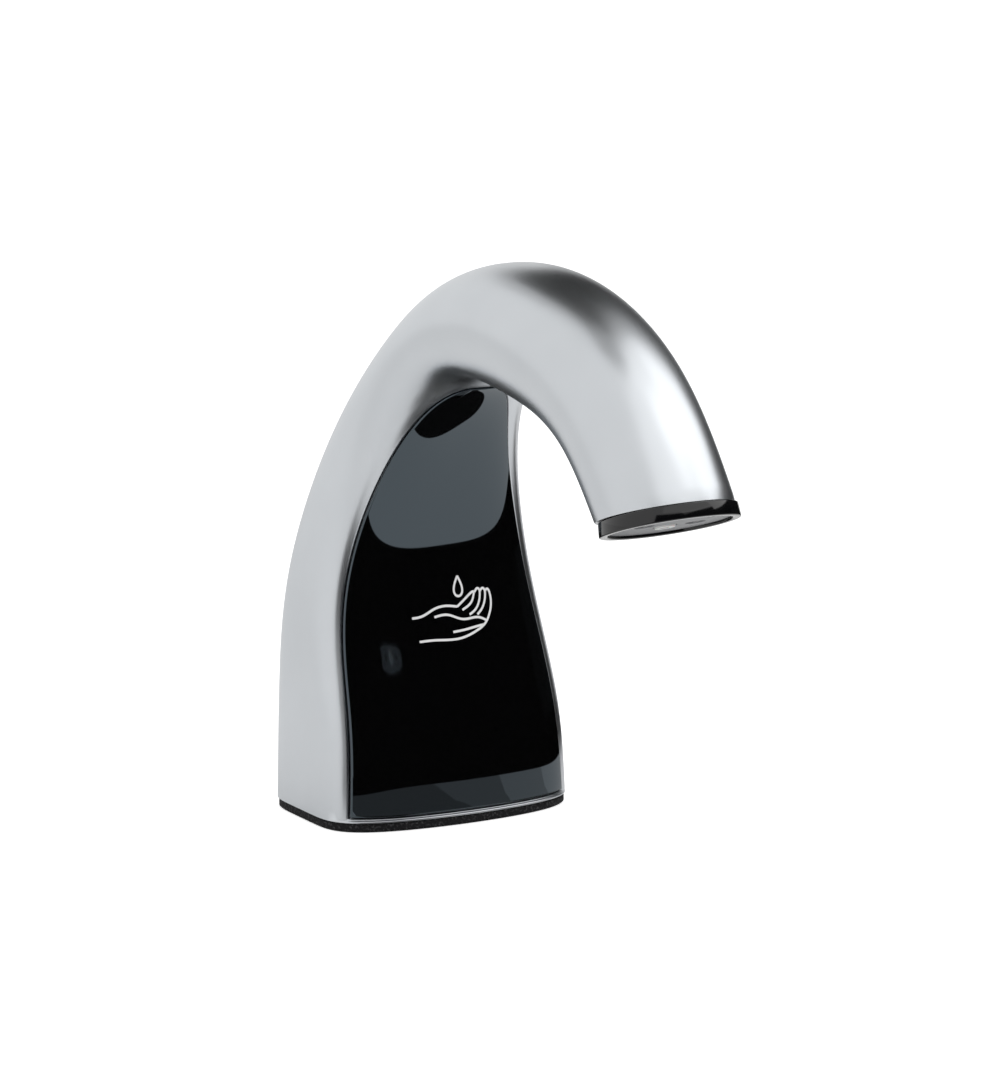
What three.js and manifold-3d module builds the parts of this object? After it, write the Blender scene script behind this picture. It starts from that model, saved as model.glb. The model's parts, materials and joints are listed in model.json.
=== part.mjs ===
import * as THREE from "three";
import { mergeVertices } from "three/addons/utils/BufferGeometryUtils.js";
import Module from "manifold-3d";

// An automatic soap dispenser that stands on a counter. Its foot holds the drive, the pump and the
// control board, its neck arches forward, and its outlet end holds the valve and the hand sensor.
// Millimetres, +Z up, the front faces -Y. The origin is the centre of the shank hole, on the counter.

// Driving dimensions of the body
const footWidth = 80;
const footDepth = 48;
const footBow = 5.5;
const outletWidth = 37.4;
const outletDepth = 36.6;
const spoutReach = 130.5;
const bendHeight = 146;
const shellWall = 3;
const gasketThickness = 2.8;
const collarHeight = 4;

// The body's centre line and its sections, at evenly spaced stations from the foot to the outlet
const forwardShares = [-0.042, -0.058, -0.091, -0.017, 0.157, 0.36, 0.592, 0.822, 1];
const heightShares = [0, 0.227, 0.476, 0.747, 0.93, 1, 0.983, 0.886, 0.702];
const sectionLeanAngles = [0, 2.7, 6, 7.5, 20, 69, 110.6, 137.3, 161.7];
const footWidthShares = [1, 0.955, 0.755, 0.385, 0.195, 0.125, 0.083, 0.02, 0];
const footDepthShares = [1, 0.88, 0.1, -0.09, -0.12, -0.08, 0.12, 0.06, 0];
const sectionPowers = [5.5, 4.7, 4.2, 3, 2.35, 2.15, 2.1, 2.05, 2.05];
const bowShares = [1, 0.85, 0.5, 0.2, 0.05, 0, 0, 0, 0];

// The fascia in the front of the foot and neck
const fasciaThickness = 1.6;
const fasciaGap = 0.35;
const fasciaLedge = 2.6;
const sillHeight = 1.2;
const fasciaTopPlaceShare = 0.47;
const fasciaEdgeShares = [0.89, 0.87, 0.86, 0.76, 0.68];
const fasciaTopWidthShare = 0.24;
const fasciaRoundingPower = 2.6;
const fasciaRoundingShare = 0.55;
const fasciaRowPower = 1.7;
const clipWidth = 5;
const clipLength = 2;
const clipReach = 2.5;
const clipPlaceShares = [0.2, 0.62];

// Clearances and cuts
const seatGap = 0.3;
const runningGap = 0.3;
const clipSideGap = 1.4;
const cutOverrun = 1;
const weldTolerance = 0.0001;

// The base plate, its screws and the socket for the shank
const basePlateThickness = 4;
const shankSocketRadius = 11.5;
const shankSocketWall = 2.5;
const shankSocketDepth = 7;
const socketWebThickness = 2;
const gasketHoleRadius = 14.5;
const gasketInset = 0.4;
const baseScrewRadius = 1.5;
const baseScrewHeadRadius = 2.8;
const baseScrewHeadHeight = 2;
const baseScrewLength = 9;
const bossWall = 2.8;
const bossHeight = 10;
const bossInset = 4.4;
const bossDepthShares = [-0.43, 0.48];

// The inlet and the power socket on the socket's web
const inletX = 6.2;
const inletBore = 1.2;
const barbRadius = 2;
const barbLength = 6.5;
const barbCollarRadius = 3.4;
const barbCollarHeight = 1.2;
const powerSocketX = -6;
const powerSocketRadius = 3.2;
const powerSocketHeight = 2.6;
const powerSocketDrop = 3;
const powerPinRadius = 0.8;

// Gear teeth, in degrees and in shares of the module
const pressureAngle = 28;
const addendumShare = 0.8;
const dedendumShare = 1.05;
const flankStartShare = 0.01;

// The drive: motor below the frame plate, gears above it
const driveY = 5.8;
const gearModule = 0.6;
const pinionTeeth = 10;
const reductionTeeth = 40;
const gearThickness = 3;
const pinionThickness = 4;
const gearLift = 1.2;
const gearSlack = 0.14;
const motorRadius = 12.2;
const motorLength = 27;
const motorCapThickness = 3;
const motorEndThickness = 2;
const motorLift = 8.5;
const motorShaftRadius = 1;
const motorHubRadius = 3;
const motorHubHeight = 1.6;
const motorCanWall = 1.5;
const armatureRadius = 9.2;
const armatureLength = 16.2;
const motorScrewBite = 1;
const motorScrewSpread = 16;
const terminalWidth = 2.6;
const terminalThickness = 0.8;
const terminalDrop = 2;
const terminalSpread = 4.6;
const terminalSetback = 10.3;
const reductionX = 3;
const framePlateThickness = 3;
const frameFront = -6.4;
const frameBack = 23.8;
const frameLeft = -27;
const frameRight = 21.5;
const framePostRadius = 2.7;
const framePostLeft = -24;
const framePostRight = 18.6;
const framePostFront = -3.7;
const framePostBack = 19.5;
const smallScrewRadius = 1;
const smallScrewHeadRadius = 1.9;
const smallScrewHeadHeight = 1.3;
const smallScrewLength = 6;
const coverScrewBite = 2;

// The gear pump
const pumpModule = 1;
const pumpTeeth = 10;
const pumpGearThickness = 7;
const pumpSlack = 0.24;
const pumpFloor = 3;
const pumpWall = 3;
const pumpCoverThickness = 3;
const pumpStandoff = 7;
const pumpFlangeThickness = 2.5;
const pumpFlangeLeft = -19;
const pumpFlangeRight = 21.4;
const pumpLegRadius = 2.5;
const pumpLegX = 16;
const pumpLegFrontY = -1.7;
const pumpLegBackY = 22.8;
const driveShaftRadius = 1.5;
const gearHubRadius = 4.5;
const portBore = 1.3;
const portReach = 6.5;

// Hoses and leads
const hoseBore = 2.5;
const hoseRadius = 3.5;
const hoseClearance = 2;
const cableRadius = 0.85;
const leadRadius = 0.7;

// Shares of a barb's length along the hose over it, and of the body's length along its bend
const overBarbShares = [0, 0.5, 1.15, 1.5];
const bendPlaceShares = [0.37, 0.44, 0.51, 0.58, 0.66, 0.74, 0.82, 0.88];

// Shares of a hose's radius and of the room that its turns cross
const deliveryRiseShares = [1.3, 3.5];
const deliveryTurnPlaceShare = 0.36;
const deliveryTurnShares = [0.6, 0.66];
const suctionTurnShare = 0.8;

// The control board
const boardWidth = 46;
const boardHeight = 26;
const boardThickness = 1.6;
const boardY = -10;
const boardLift = 5;
const boardPostX = 20.5;
const boardPostWidth = 4.5;
const boardPostDepth = 2.4;
const boardScrewShare = 0.85;
const switchHeightShare = 1 / 3;
const connectorMiddleShare = 0.2;
const connectorWidth = 5;
const connectorDepth = 3;
const connectorHeight = 4.5;
const connectorSpread = 7;
const switchSize = 6;
const switchDepth = 1.8;
const switchX = 12;
const buttonRadius = 1.7;
const buttonLength = 2.4;
const buttonTravel = 0.6;
const buttonPocket = 1.4;
const ledRadius = 1.5;
const ledLength = 2.2;
const ledTipRadius = 0.9;
const ledTipLength = 2.9;
const ledX = -8;

// The outlet end, measured from the middle of its rim, with Z up the arm
const collarFlare = 0.25;
const collarLip = 2;
const collarSkirt = 1.6;
const collarSkirtHeight = 9;
const collarBossRadius = 2.3;
const faceThickness = 2;
const faceRecess = 0.8;
const faceScrewRadius = 0.9;
const faceScrewHeadRadius = 1.6;
const faceScrewHeadHeight = 0.8;
const faceScrewLength = 4.5;
const faceScrewAngle = 50;
const nozzleRadius = 3;
const nozzleBore = 1.4;
const nozzleFlangeRadius = 4.7;
const nozzleFlangeHeight = 1;
const valveRadius = 5.2;
const valveBackRoom = 5.7;
const valveChamberRadius = 3.5;
const valveChamberHeight = 6.6;
const valveWeb = 1.2;
const poppetHeadRadius = 2.7;
const poppetHeadHeight = 1.3;
const poppetStemRadius = 0.8;
const poppetTravel = 1.2;
const springMeanRadius = 1.9;
const springWireRadius = 0.25;
const springTurns = 4;
const sensorSpread = 15.6;
const sensorY = 0;
const sensorRadius = 2.4;
const sensorLength = 7.2;
const sensorDomeShares = [
  [0, 0],
  [0.6, 0.15],
  [0.95, 0.6],
  [1, 1],
];
const sensorBoardGap = 0.4;
const sensorBoardThickness = 1.2;

// How finely curved shapes are divided
const bodyRings = 27;
const bodySides = 30;
const cavityRings = 19;
const cavitySides = 22;
const fasciaRows = 16;
const fasciaColumns = 11;
const largeSides = 24;
const roundSides = 16;
const smallSides = 10;
const screwSides = 8;
const wireSides = 6;
const hoseSides = 6;
const coilSteps = 8;
const coilSides = 5;
const plateRings = 6;
const leadSteps = 18;
const suctionSteps = 32;
const deliverySteps = 42;
const cableSteps = 52;
const halvings = 40;

// Finishes
const satinChrome = finish(0xc4c7cb, 0.26, 1);
const glossBlack = finish(0x050506, 0.08, 0);
const foamBlack = finish(0x1b1c1e, 0.9, 0);
const collarBlack = finish(0x0a0a0b, 0.15, 0);
const faceGrey = finish(0x6d7073, 0.5, 0);
const zincPlated = finish(0xa9adb0, 0.4, 1);
const darkPlastic = finish(0x26282b, 0.55, 0);
const paleAcetal = finish(0xe4e2da, 0.5, 0);
const copperBrass = finish(0xb9975b, 0.35, 1);
const steel = finish(0x9ea2a6, 0.35, 1);
const boardGreen = finish(0x1d5c3a, 0.5, 0);
const clearSilicone = finish(0xd6d9d8, 0.4, 0);
const darkLens = finish(0x1a0d14, 0.1, 0);
const leadRed = finish(0x9c2a22, 0.6, 0);
const leadBlack = finish(0x1a1a1a, 0.6, 0);

function finish(color, roughness, metalness) {
  return new THREE.MeshStandardMaterial({ color, roughness, metalness });
}

const wasm = await Module();
wasm.setup();

// A three.js geometry as a solid that can be cut and joined, with its faces pointing out.
function solid(geometry) {
  const positions = (geometry.index ? geometry.toNonIndexed() : geometry).getAttribute("position");
  const merged = mergeVertices(new THREE.BufferGeometry().setAttribute("position", positions), weldTolerance);
  const vertProperties = new Float32Array(merged.attributes.position.array);
  const triVerts = new Uint32Array(merged.index.array);
  const made = new wasm.Manifold(new wasm.Mesh({ numProp: 3, vertProperties, triVerts }));
  if (made.volume() > 0) return made;
  for (let i = 0; i < triVerts.length; i += 3) {
    const kept = triVerts[i + 1];
    triVerts[i + 1] = triVerts[i + 2];
    triVerts[i + 2] = kept;
  }
  return new wasm.Manifold(new wasm.Mesh({ numProp: 3, vertProperties, triVerts }));
}

function join(...solids) {
  return solids.reduce((whole, next) => whole.add(next));
}

function cut(base, ...tools) {
  return tools.reduce((rest, tool) => rest.subtract(tool), base);
}

// A named mesh from a finished solid.
function piece(name, made, material) {
  const mesh = made.getMesh();
  const geometry = new THREE.BufferGeometry()
    .setAttribute("position", new THREE.BufferAttribute(new Float32Array(mesh.vertProperties), 3))
    .setIndex(new THREE.BufferAttribute(new Uint32Array(mesh.triVerts), 1));
  geometry.computeVertexNormals();
  const result = new THREE.Mesh(geometry, material);
  result.name = name;
  return result;
}

// Basic solids: x and y are the middle, z is the bottom.
function block(width, depth, height, x, y, z) {
  const geometry = new THREE.BoxGeometry(width, depth, height);
  return solid(geometry.translate(x, y, z + height / 2));
}

function lathe(profile, x, y, z, sides = roundSides) {
  const points = profile.map(([radius, height]) => new THREE.Vector2(radius, height));
  const geometry = new THREE.LatheGeometry(points, sides).rotateX(Math.PI / 2);
  return solid(geometry.translate(x, y, z));
}

function post(radius, height, x, y, z, sides = roundSides) {
  const geometry = new THREE.CylinderGeometry(radius, radius, height, sides).rotateX(Math.PI / 2);
  return solid(geometry.translate(x, y, z + height / 2));
}

function pipe(outer, inner, height, x, y, z, sides = roundSides) {
  const profile = [
    [inner, 0],
    [outer, 0],
    [outer, height],
    [inner, height],
    [inner, 0],
  ];
  return lathe(profile, x, y, z, sides);
}

// A round bar along X from its end at x.
function barAlongX(radius, length, x, y, z, sides = roundSides) {
  const geometry = new THREE.CylinderGeometry(radius, radius, Math.abs(length), sides).rotateZ(Math.PI / 2);
  return solid(geometry.translate(x + length / 2, y, z));
}

// A round bar along Y from its end at y.
function barAlongY(radius, length, x, y, z, sides = roundSides) {
  const geometry = new THREE.CylinderGeometry(radius, radius, Math.abs(length), sides);
  return solid(geometry.translate(x, y + length / 2, z));
}

function extruded(outline, height, x, y, z) {
  const geometry = new THREE.ExtrudeGeometry(outline, { depth: height, bevelEnabled: false, steps: 1 });
  return solid(geometry.translate(x, y, z));
}

function polygon(radius, sides) {
  const corner = (i) => {
    const angle = (2 * Math.PI * i) / sides;
    return new THREE.Vector2(radius * Math.cos(angle), radius * Math.sin(angle));
  };
  return Array.from({ length: sides }, (_, i) => corner(i));
}

// A tube or a wire along a smooth route. A bore of 0 makes it solid.
function routed(points, radius, bore, steps, sides) {
  const outline = new THREE.Shape(polygon(radius, sides));
  if (bore > 0) outline.holes.push(new THREE.Path(polygon(bore, sides)));
  const extrudePath = new THREE.CatmullRomCurve3(points, false, "centripetal");
  return solid(new THREE.ExtrudeGeometry(outline, { steps, extrudePath, bevelEnabled: false }));
}

// A natural cubic spline through evenly spaced values, read at a place from 0 to 1.
function splineThrough(values) {
  const last = values.length - 1;
  const ratios = [0];
  const terms = [0];
  for (let i = 1; i < last; i++) {
    const pivot = 4 - ratios[i - 1];
    ratios.push(1 / pivot);
    terms.push((6 * (values[i - 1] - 2 * values[i] + values[i + 1]) - terms[i - 1]) / pivot);
  }
  const bends = new Array(last + 1).fill(0);
  for (let i = last - 1; i > 0; i--) bends[i] = terms[i] - ratios[i] * bends[i + 1];
  return (place) => {
    const along = Math.min(Math.max(place, 0), 1) * last;
    const i = Math.min(Math.floor(along), last - 1);
    const u = along - i;
    const v = 1 - u;
    return v * values[i] + u * values[i + 1] + ((v ** 3 - v) * bends[i] + (u ** 3 - u) * bends[i + 1]) / 6;
  };
}

const blend = (from, to, share) => from + (to - from) * share;
const centreY = splineThrough(forwardShares.map((share) => -share * spoutReach));
const centreZ = splineThrough(heightShares.map((share) => share * bendHeight));
const leanAt = splineThrough(sectionLeanAngles.map((lean) => THREE.MathUtils.degToRad(lean)));
const halfWidthAt = splineThrough(footWidthShares.map((share) => blend(outletWidth, footWidth, share) / 2));
const halfDepthAt = splineThrough(footDepthShares.map((share) => blend(outletDepth, footDepth, share) / 2));
const powerAt = splineThrough(sectionPowers);
const bowAt = splineThrough(bowShares.map((share) => share * footBow));

// A point on the body's skin, or inset from it. Angle 0 is the +X side and a quarter turn the front.
function skinPoint(place, angle, inset) {
  const power = 2 / powerAt(place);
  const across = Math.sign(Math.cos(angle)) * Math.abs(Math.cos(angle)) ** power;
  const forward = Math.sign(Math.sin(angle)) * Math.abs(Math.sin(angle)) ** power;
  const bulge = Math.max(forward, 0) * (1 - across * across) * bowAt(place);
  const out = forward * (halfDepthAt(place) - inset) + bulge;
  const lean = leanAt(place);
  return new THREE.Vector3(
    across * (halfWidthAt(place) - inset),
    centreY(place) - out * Math.cos(lean),
    centreZ(place) - out * Math.sin(lean),
  );
}

// A point on the front of the body, at a share of its half width.
function frontPoint(place, across, inset) {
  const cosine = Math.sign(across) * Math.abs(across) ** (powerAt(place) / 2);
  return skinPoint(place, Math.acos(cosine), inset);
}

// The place along the foot and neck whose centre has a given height.
function placeAtHeight(height) {
  let low = 0;
  let high = 1 / 2;
  for (let i = 0; i < halvings; i++) {
    const middle = (low + high) / 2;
    if (centreZ(middle) < height) low = middle;
    else high = middle;
  }
  return low;
}

// Angles round a section: part evenly turned, part evenly spaced along its edge.
function sectionAngles(place, sides) {
  const fine = 360;
  const lengths = [0];
  for (let i = 1; i <= fine; i++) {
    const from = skinPoint(place, (2 * Math.PI * (i - 1)) / fine, 0);
    lengths.push(lengths[i - 1] + from.distanceTo(skinPoint(place, (2 * Math.PI * i) / fine, 0)));
  }
  const angles = [];
  let at = 0;
  for (let k = 0; k < sides; k++) {
    const wanted = (lengths[fine] * k) / sides;
    while (lengths[at + 1] < wanted) at++;
    const within = (wanted - lengths[at]) / (lengths[at + 1] - lengths[at]);
    const spaced = (2 * Math.PI * (at + within)) / fine;
    const turned = (2 * Math.PI * k) / sides;
    angles.push((spaced + turned) / 2);
  }
  return angles;
}

function skinRing(place, inset, sides) {
  return sectionAngles(place, sides).map((angle) => skinPoint(place, angle, inset));
}

// A closed solid through rings of points that each have the same count.
function loft(rings) {
  const sides = rings[0].length;
  const points = rings.flat();
  const index = [];
  for (let i = 0; i < rings.length - 1; i++) {
    for (let j = 0; j < sides; j++) {
      const a = i * sides + j;
      const b = i * sides + ((j + 1) % sides);
      index.push(a, b, b + sides, a, b + sides, a + sides);
    }
  }
  for (const [ring, first, turned] of [
    [rings[0], 0, true],
    [rings[rings.length - 1], (rings.length - 1) * sides, false],
  ]) {
    const middle = ring.reduce((sum, p) => sum.add(p), new THREE.Vector3()).divideScalar(sides);
    const hub = points.push(middle) - 1;
    for (let j = 0; j < sides; j++) {
      const a = first + j;
      const b = first + ((j + 1) % sides);
      index.push(...(turned ? [b, a, hub] : [a, b, hub]));
    }
  }
  return solid(new THREE.BufferGeometry().setFromPoints(points).setIndex(index));
}

function bodyLoft(inset, from, to, rings, sides) {
  const places = Array.from({ length: rings }, (_, i) => blend(from, to, i / (rings - 1)));
  return loft(places.map((place) => skinRing(place, inset, sides)));
}

// A curved plate between two grids of points of the same size.
function plateBetween(outer, inner) {
  const rows = outer.length;
  const columns = outer[0].length;
  const points = [...outer.flat(), ...inner.flat()];
  const shift = rows * columns;
  const at = (i, j) => i * columns + j;
  const index = [];
  const quad = (a, b, c, d) => index.push(a, b, c, a, c, d);
  for (let i = 0; i < rows - 1; i++) {
    for (let j = 0; j < columns - 1; j++) {
      quad(at(i, j), at(i, j + 1), at(i + 1, j + 1), at(i + 1, j));
      quad(shift + at(i, j), shift + at(i + 1, j), shift + at(i + 1, j + 1), shift + at(i, j + 1));
    }
    quad(at(i, 0), at(i + 1, 0), shift + at(i + 1, 0), shift + at(i, 0));
    const end = columns - 1;
    quad(at(i + 1, end), at(i, end), shift + at(i, end), shift + at(i + 1, end));
  }
  for (let j = 0; j < columns - 1; j++) {
    quad(at(0, j + 1), at(0, j), shift + at(0, j), shift + at(0, j + 1));
    const end = rows - 1;
    quad(at(end, j), at(end, j + 1), shift + at(end, j + 1), shift + at(end, j));
  }
  return solid(new THREE.BufferGeometry().setFromPoints(points).setIndex(index));
}

const centreLineLength = measureCentreLine();

function measureCentreLine() {
  const steps = 200;
  let length = 0;
  for (let i = 0; i < steps; i++) {
    const dy = centreY((i + 1) / steps) - centreY(i / steps);
    const dz = centreZ((i + 1) / steps) - centreZ(i / steps);
    length += Math.hypot(dy, dz);
  }
  return length;
}

// The fascia's edge as a share of the half width, over the first half of the body's places.
const fasciaEdgeAt = splineThrough(fasciaEdgeShares);
const edgePlacesEnd = 1 / 2;
const fasciaBottomPlace = placeAtHeight(gasketThickness + sillHeight + fasciaGap);

// The fascia's field grown by a margin all round, between two insets: 0 is the skin.
function frontField(margin, outerInset, innerInset) {
  const rows = fasciaRows;
  const columns = fasciaColumns;
  const from = fasciaBottomPlace - margin / centreLineLength;
  const to = fasciaTopPlaceShare + margin / centreLineLength;
  const grid = (inset) =>
    Array.from({ length: rows }, (_, i) => {
      const share = 1 - (1 - i / (rows - 1)) ** fasciaRowPower;
      const place = blend(from, to, share);
      const straight = fasciaEdgeAt(place / edgePlacesEnd) + margin / halfWidthAt(place);
      const rise = Math.max((share - fasciaRoundingShare) / (1 - fasciaRoundingShare), 0);
      const narrowing = 1 - (1 - fasciaTopWidthShare ** fasciaRoundingPower) * rise ** fasciaRoundingPower;
      const edge = straight * narrowing ** (1 / fasciaRoundingPower);
      return Array.from({ length: columns }, (_, j) => {
        const across = Math.sin((Math.PI * j) / (columns - 1) - Math.PI / 2) * edge;
        return frontPoint(place, across, inset);
      });
    });
  return plateBetween(grid(outerInset), grid(innerInset));
}

// The outlet end's own frame
const outletTilt = leanAt(1) - Math.PI;
const outletCentre = new THREE.Vector3(0, centreY(1), centreZ(1));
const outletFrame = new THREE.Matrix4()
  .makeRotationX(outletTilt)
  .setPosition(outletCentre);
const outletFrameBack = outletFrame.clone().invert();
const outletGroup = new THREE.Group();
outletGroup.position.copy(outletCentre);
outletGroup.rotation.x = outletTilt;

function fromOutlet(x, y, z) {
  return new THREE.Vector3(x, y, z).applyMatrix4(outletFrame);
}

// Levels, from the counter up
const basePlateTop = gasketThickness + basePlateThickness;
const socketWebBottom = gasketThickness + shankSocketDepth;
const socketWebTop = socketWebBottom + socketWebThickness;
const motorBottom = basePlateTop + motorLift;
const motorCanBottom = motorBottom + motorCapThickness;
const motorTop = motorCanBottom + motorLength;
const framePlateTop = motorTop + framePlateThickness;
const gearBottom = framePlateTop + gearLift;
const pumpFlangeBottom = framePlateTop + pumpStandoff;
const pumpFlangeTop = pumpFlangeBottom + pumpFlangeThickness;
const pumpChamberBottom = pumpFlangeBottom + pumpFloor;
const pumpChamberTop = pumpChamberBottom + pumpGearThickness + 2 * runningGap;
const pumpTop = pumpChamberTop + pumpCoverThickness;
const portZ = pumpChamberBottom + pumpGearThickness / 2;

// Centres of the turning parts
const gearDistance = (gearModule * (pinionTeeth + reductionTeeth)) / 2;
const motorX = reductionX - gearDistance;
const pumpGearDistance = pumpModule * pumpTeeth;
const idlerY = driveY + pumpGearDistance;
const pumpGearRadius = (pumpModule * pumpTeeth) / 2 + addendumShare * pumpModule;

// Where the base plate's screws go
const bossX = footWidth / 2 - shellWall - bossInset;
const baseScrewPlaces = bossDepthShares.flatMap((share) =>
  [-1, 1].map((side) => [side * bossX, centreY(0) + (share * footDepth) / 2]),
);
const bossHole = baseScrewRadius + seatGap;

// The frame's four posts. Two are screwed down and the other two rest on the base plate.
const framePostPlaces = [
  [framePostLeft, framePostFront],
  [framePostRight, framePostFront],
  [framePostLeft, framePostBack],
  [framePostRight, framePostBack],
];
const screwedPosts = [framePostPlaces[0], framePostPlaces[3]];

function spoutShell() {
  const skin = bodyLoft(0, 0, 1, bodyRings, bodySides);
  const hollow = bodyLoft(shellWall, 0, 1, cavityRings, cavitySides);
  const bossBottom = basePlateTop + seatGap;
  const bosses = baseScrewPlaces.map(([x, y]) => post(bossHole + bossWall, bossHeight, x, y, bossBottom));
  const holes = baseScrewPlaces.map(([x, y]) =>
    post(bossHole, bossHeight - bossWall + cutOverrun, x, y, bossBottom - cutOverrun, smallSides),
  );
  const walls = join(cut(skin, hollow), ...bosses.map((boss) => boss.intersect(skin)));
  const below = block(2 * footWidth, 2 * footWidth, footWidth, 0, 0, gasketThickness - footWidth);
  const rimHeight = collarHeight + seatGap;
  const beyondGeometry = new THREE.BoxGeometry(2 * outletWidth, 2 * outletDepth, outletWidth);
  beyondGeometry.translate(0, 0, rimHeight - outletWidth / 2);
  const beyond = solid(beyondGeometry.applyMatrix4(outletFrame));
  const pocket = frontField(fasciaGap, -shellWall, fasciaThickness + fasciaGap);
  const opening = frontField(-fasciaLedge, -shellWall, 2 * shellWall);
  return piece("spout_shell", cut(walls, below, beyond, pocket, opening, ...holes), satinChrome);
}

function frontFascia() {
  const panel = frontField(0, 0, fasciaThickness);
  const clips = [];
  for (const share of clipPlaceShares) {
    const place = blend(fasciaBottomPlace, fasciaTopPlaceShare, share);
    for (const side of [-1, 1]) clips.push(fasciaClip(place, side));
  }
  return piece("front_fascia", join(panel, ...clips), glossBlack);
}

// A clip behind the fascia, just inside the edge of the shell's opening.
function fasciaClip(place, side) {
  const half = halfWidthAt(place);
  const outerEdge = fasciaEdgeAt(place / edgePlacesEnd) - (fasciaLedge + clipSideGap) / half;
  const innerEdge = outerEdge - clipReach / half;
  const rows = [place, place + clipWidth / centreLineLength];
  const edges = [innerEdge, outerEdge];
  const grid = (inset) => rows.map((row) => edges.map((edge) => frontPoint(row, side * edge, inset)));
  return plateBetween(grid(fasciaThickness / 2), grid(shellWall + clipLength / 2));
}

function footOutline(inset) {
  const ring = skinRing(0, inset, bodySides);
  return ring.map((p) => new THREE.Vector2(p.x, p.y));
}

function baseGasket() {
  const outline = new THREE.Shape(footOutline(gasketInset));
  outline.holes.push(new THREE.Path(polygon(gasketHoleRadius, largeSides)));
  return piece("base_gasket", extruded(outline, gasketThickness, 0, 0, 0), foamBlack);
}

function basePlate() {
  const core = bodyLoft(shellWall + seatGap, 0, placeAtHeight(2 * basePlateTop), plateRings, cavitySides);
  const layer = block(2 * footWidth, 2 * footWidth, basePlateThickness, 0, 0, gasketThickness);
  const ringRadius = shankSocketRadius + shankSocketWall;
  const socket = post(ringRadius, socketWebTop - gasketThickness, 0, 0, gasketThickness, largeSides);
  const posts = [-boardPostX, boardPostX].map((x) => {
    const height = boardLift + boardHeight;
    const y = boardY + (boardThickness + boardPostDepth) / 2;
    return block(boardPostWidth, boardPostDepth, height, x, y, basePlateTop - cutOverrun / 2);
  });
  const cutFrom = gasketThickness - cutOverrun;
  const bore = post(shankSocketRadius, shankSocketDepth + cutOverrun, 0, 0, cutFrom, largeSides);
  const webHoles = [
    [inletX, barbRadius + seatGap],
    [powerSocketX, powerSocketRadius - shankSocketWall / 4],
  ].map(([x, radius]) =>
    post(radius, 2 * socketWebThickness, x, 0, socketWebBottom - cutOverrun, smallSides),
  );
  const screwHoles = [...baseScrewPlaces, ...screwedPosts].flatMap(([x, y], i) => {
    const large = i < baseScrewPlaces.length;
    const shank = (large ? baseScrewRadius : smallScrewRadius) + seatGap;
    const head = (large ? baseScrewHeadRadius : smallScrewHeadRadius) + seatGap;
    const depth = (large ? baseScrewHeadHeight : smallScrewHeadHeight) + seatGap;
    return [
      post(shank, basePlateThickness + 2 * cutOverrun, x, y, cutFrom, smallSides),
      post(head, depth + cutOverrun, x, y, cutFrom, smallSides),
    ];
  });
  const boardHoles = boardScrewPlaces().map(([x, z]) =>
    barAlongY(smallScrewRadius + seatGap, boardPostDepth + 2 * cutOverrun, x, boardY, z, smallSides),
  );
  const body = join(core.intersect(layer), socket, ...posts);
  return piece("base_plate", cut(body, bore, ...webHoles, ...screwHoles, ...boardHoles), zincPlated);
}

function boardScrewPlaces() {
  const z = basePlateTop + boardLift + boardScrewShare * boardHeight;
  return [
    [-boardPostX, z],
    [boardPostX, z],
  ];
}

// A pan head screw standing on its head, with its head's underside at z.
function screwUp(name, x, y, z, radius, length, headRadius, headHeight) {
  const shank = post(radius, length + headHeight / 2, x, y, z - headHeight / 2, screwSides);
  const head = post(headRadius, headHeight, x, y, z - headHeight, screwSides);
  const recessBottom = z - headHeight - cutOverrun;
  const recess = post(headRadius / 2, headHeight / 2 + cutOverrun, x, y, recessBottom, wireSides);
  return piece(name, cut(join(shank, head), recess), steel);
}

// A pan head screw pointing down, with its head's underside at z.
function screwDown(name, x, y, z, radius, length, headRadius, headHeight) {
  const shank = post(radius, length + headHeight / 2, x, y, z - length, screwSides);
  const head = post(headRadius, headHeight, x, y, z, screwSides);
  const recess = post(headRadius / 2, headHeight / 2 + cutOverrun, x, y, z + headHeight / 2, wireSides);
  return piece(name, cut(join(shank, head), recess), steel);
}

function baseScrews() {
  const underHead = gasketThickness + baseScrewHeadHeight + seatGap / 2;
  return baseScrewPlaces.map(([x, y], i) =>
    screwUp(
      `base_plate_screw_${i + 1}`,
      x,
      y,
      underHead,
      baseScrewRadius,
      baseScrewLength,
      baseScrewHeadRadius,
      baseScrewHeadHeight,
    ),
  );
}


function frameScrews() {
  const underHead = gasketThickness + smallScrewHeadHeight + seatGap / 2;
  return screwedPosts.map(([x, y], i) =>
    screwUp(
      `frame_screw_${i + 1}`,
      x,
      y,
      underHead,
      smallScrewRadius,
      smallScrewLength,
      smallScrewHeadRadius,
      smallScrewHeadHeight,
    ),
  );
}

// A hose barb standing on a collar, with a stub that goes down through a wall.
function barbProfile(stub, bore) {
  const top = barbCollarHeight + barbLength;
  const ridge = barbLength / 3;
  return [
    [bore, -stub],
    [barbRadius, -stub],
    [barbRadius, 0],
    [barbCollarRadius, 0],
    [barbCollarRadius, barbCollarHeight],
    [barbRadius - seatGap / 2, barbCollarHeight],
    [barbRadius - seatGap / 2, barbCollarHeight + ridge],
    [barbRadius, top - ridge],
    [barbRadius - seatGap, top],
    [bore, top],
    [bore, -stub],
  ];
}

function inletBarb() {
  const profile = barbProfile(shankSocketDepth / 2, inletBore);
  return piece("inlet_barb", lathe(profile, inletX, 0, socketWebTop, smallSides), paleAcetal);
}

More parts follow.
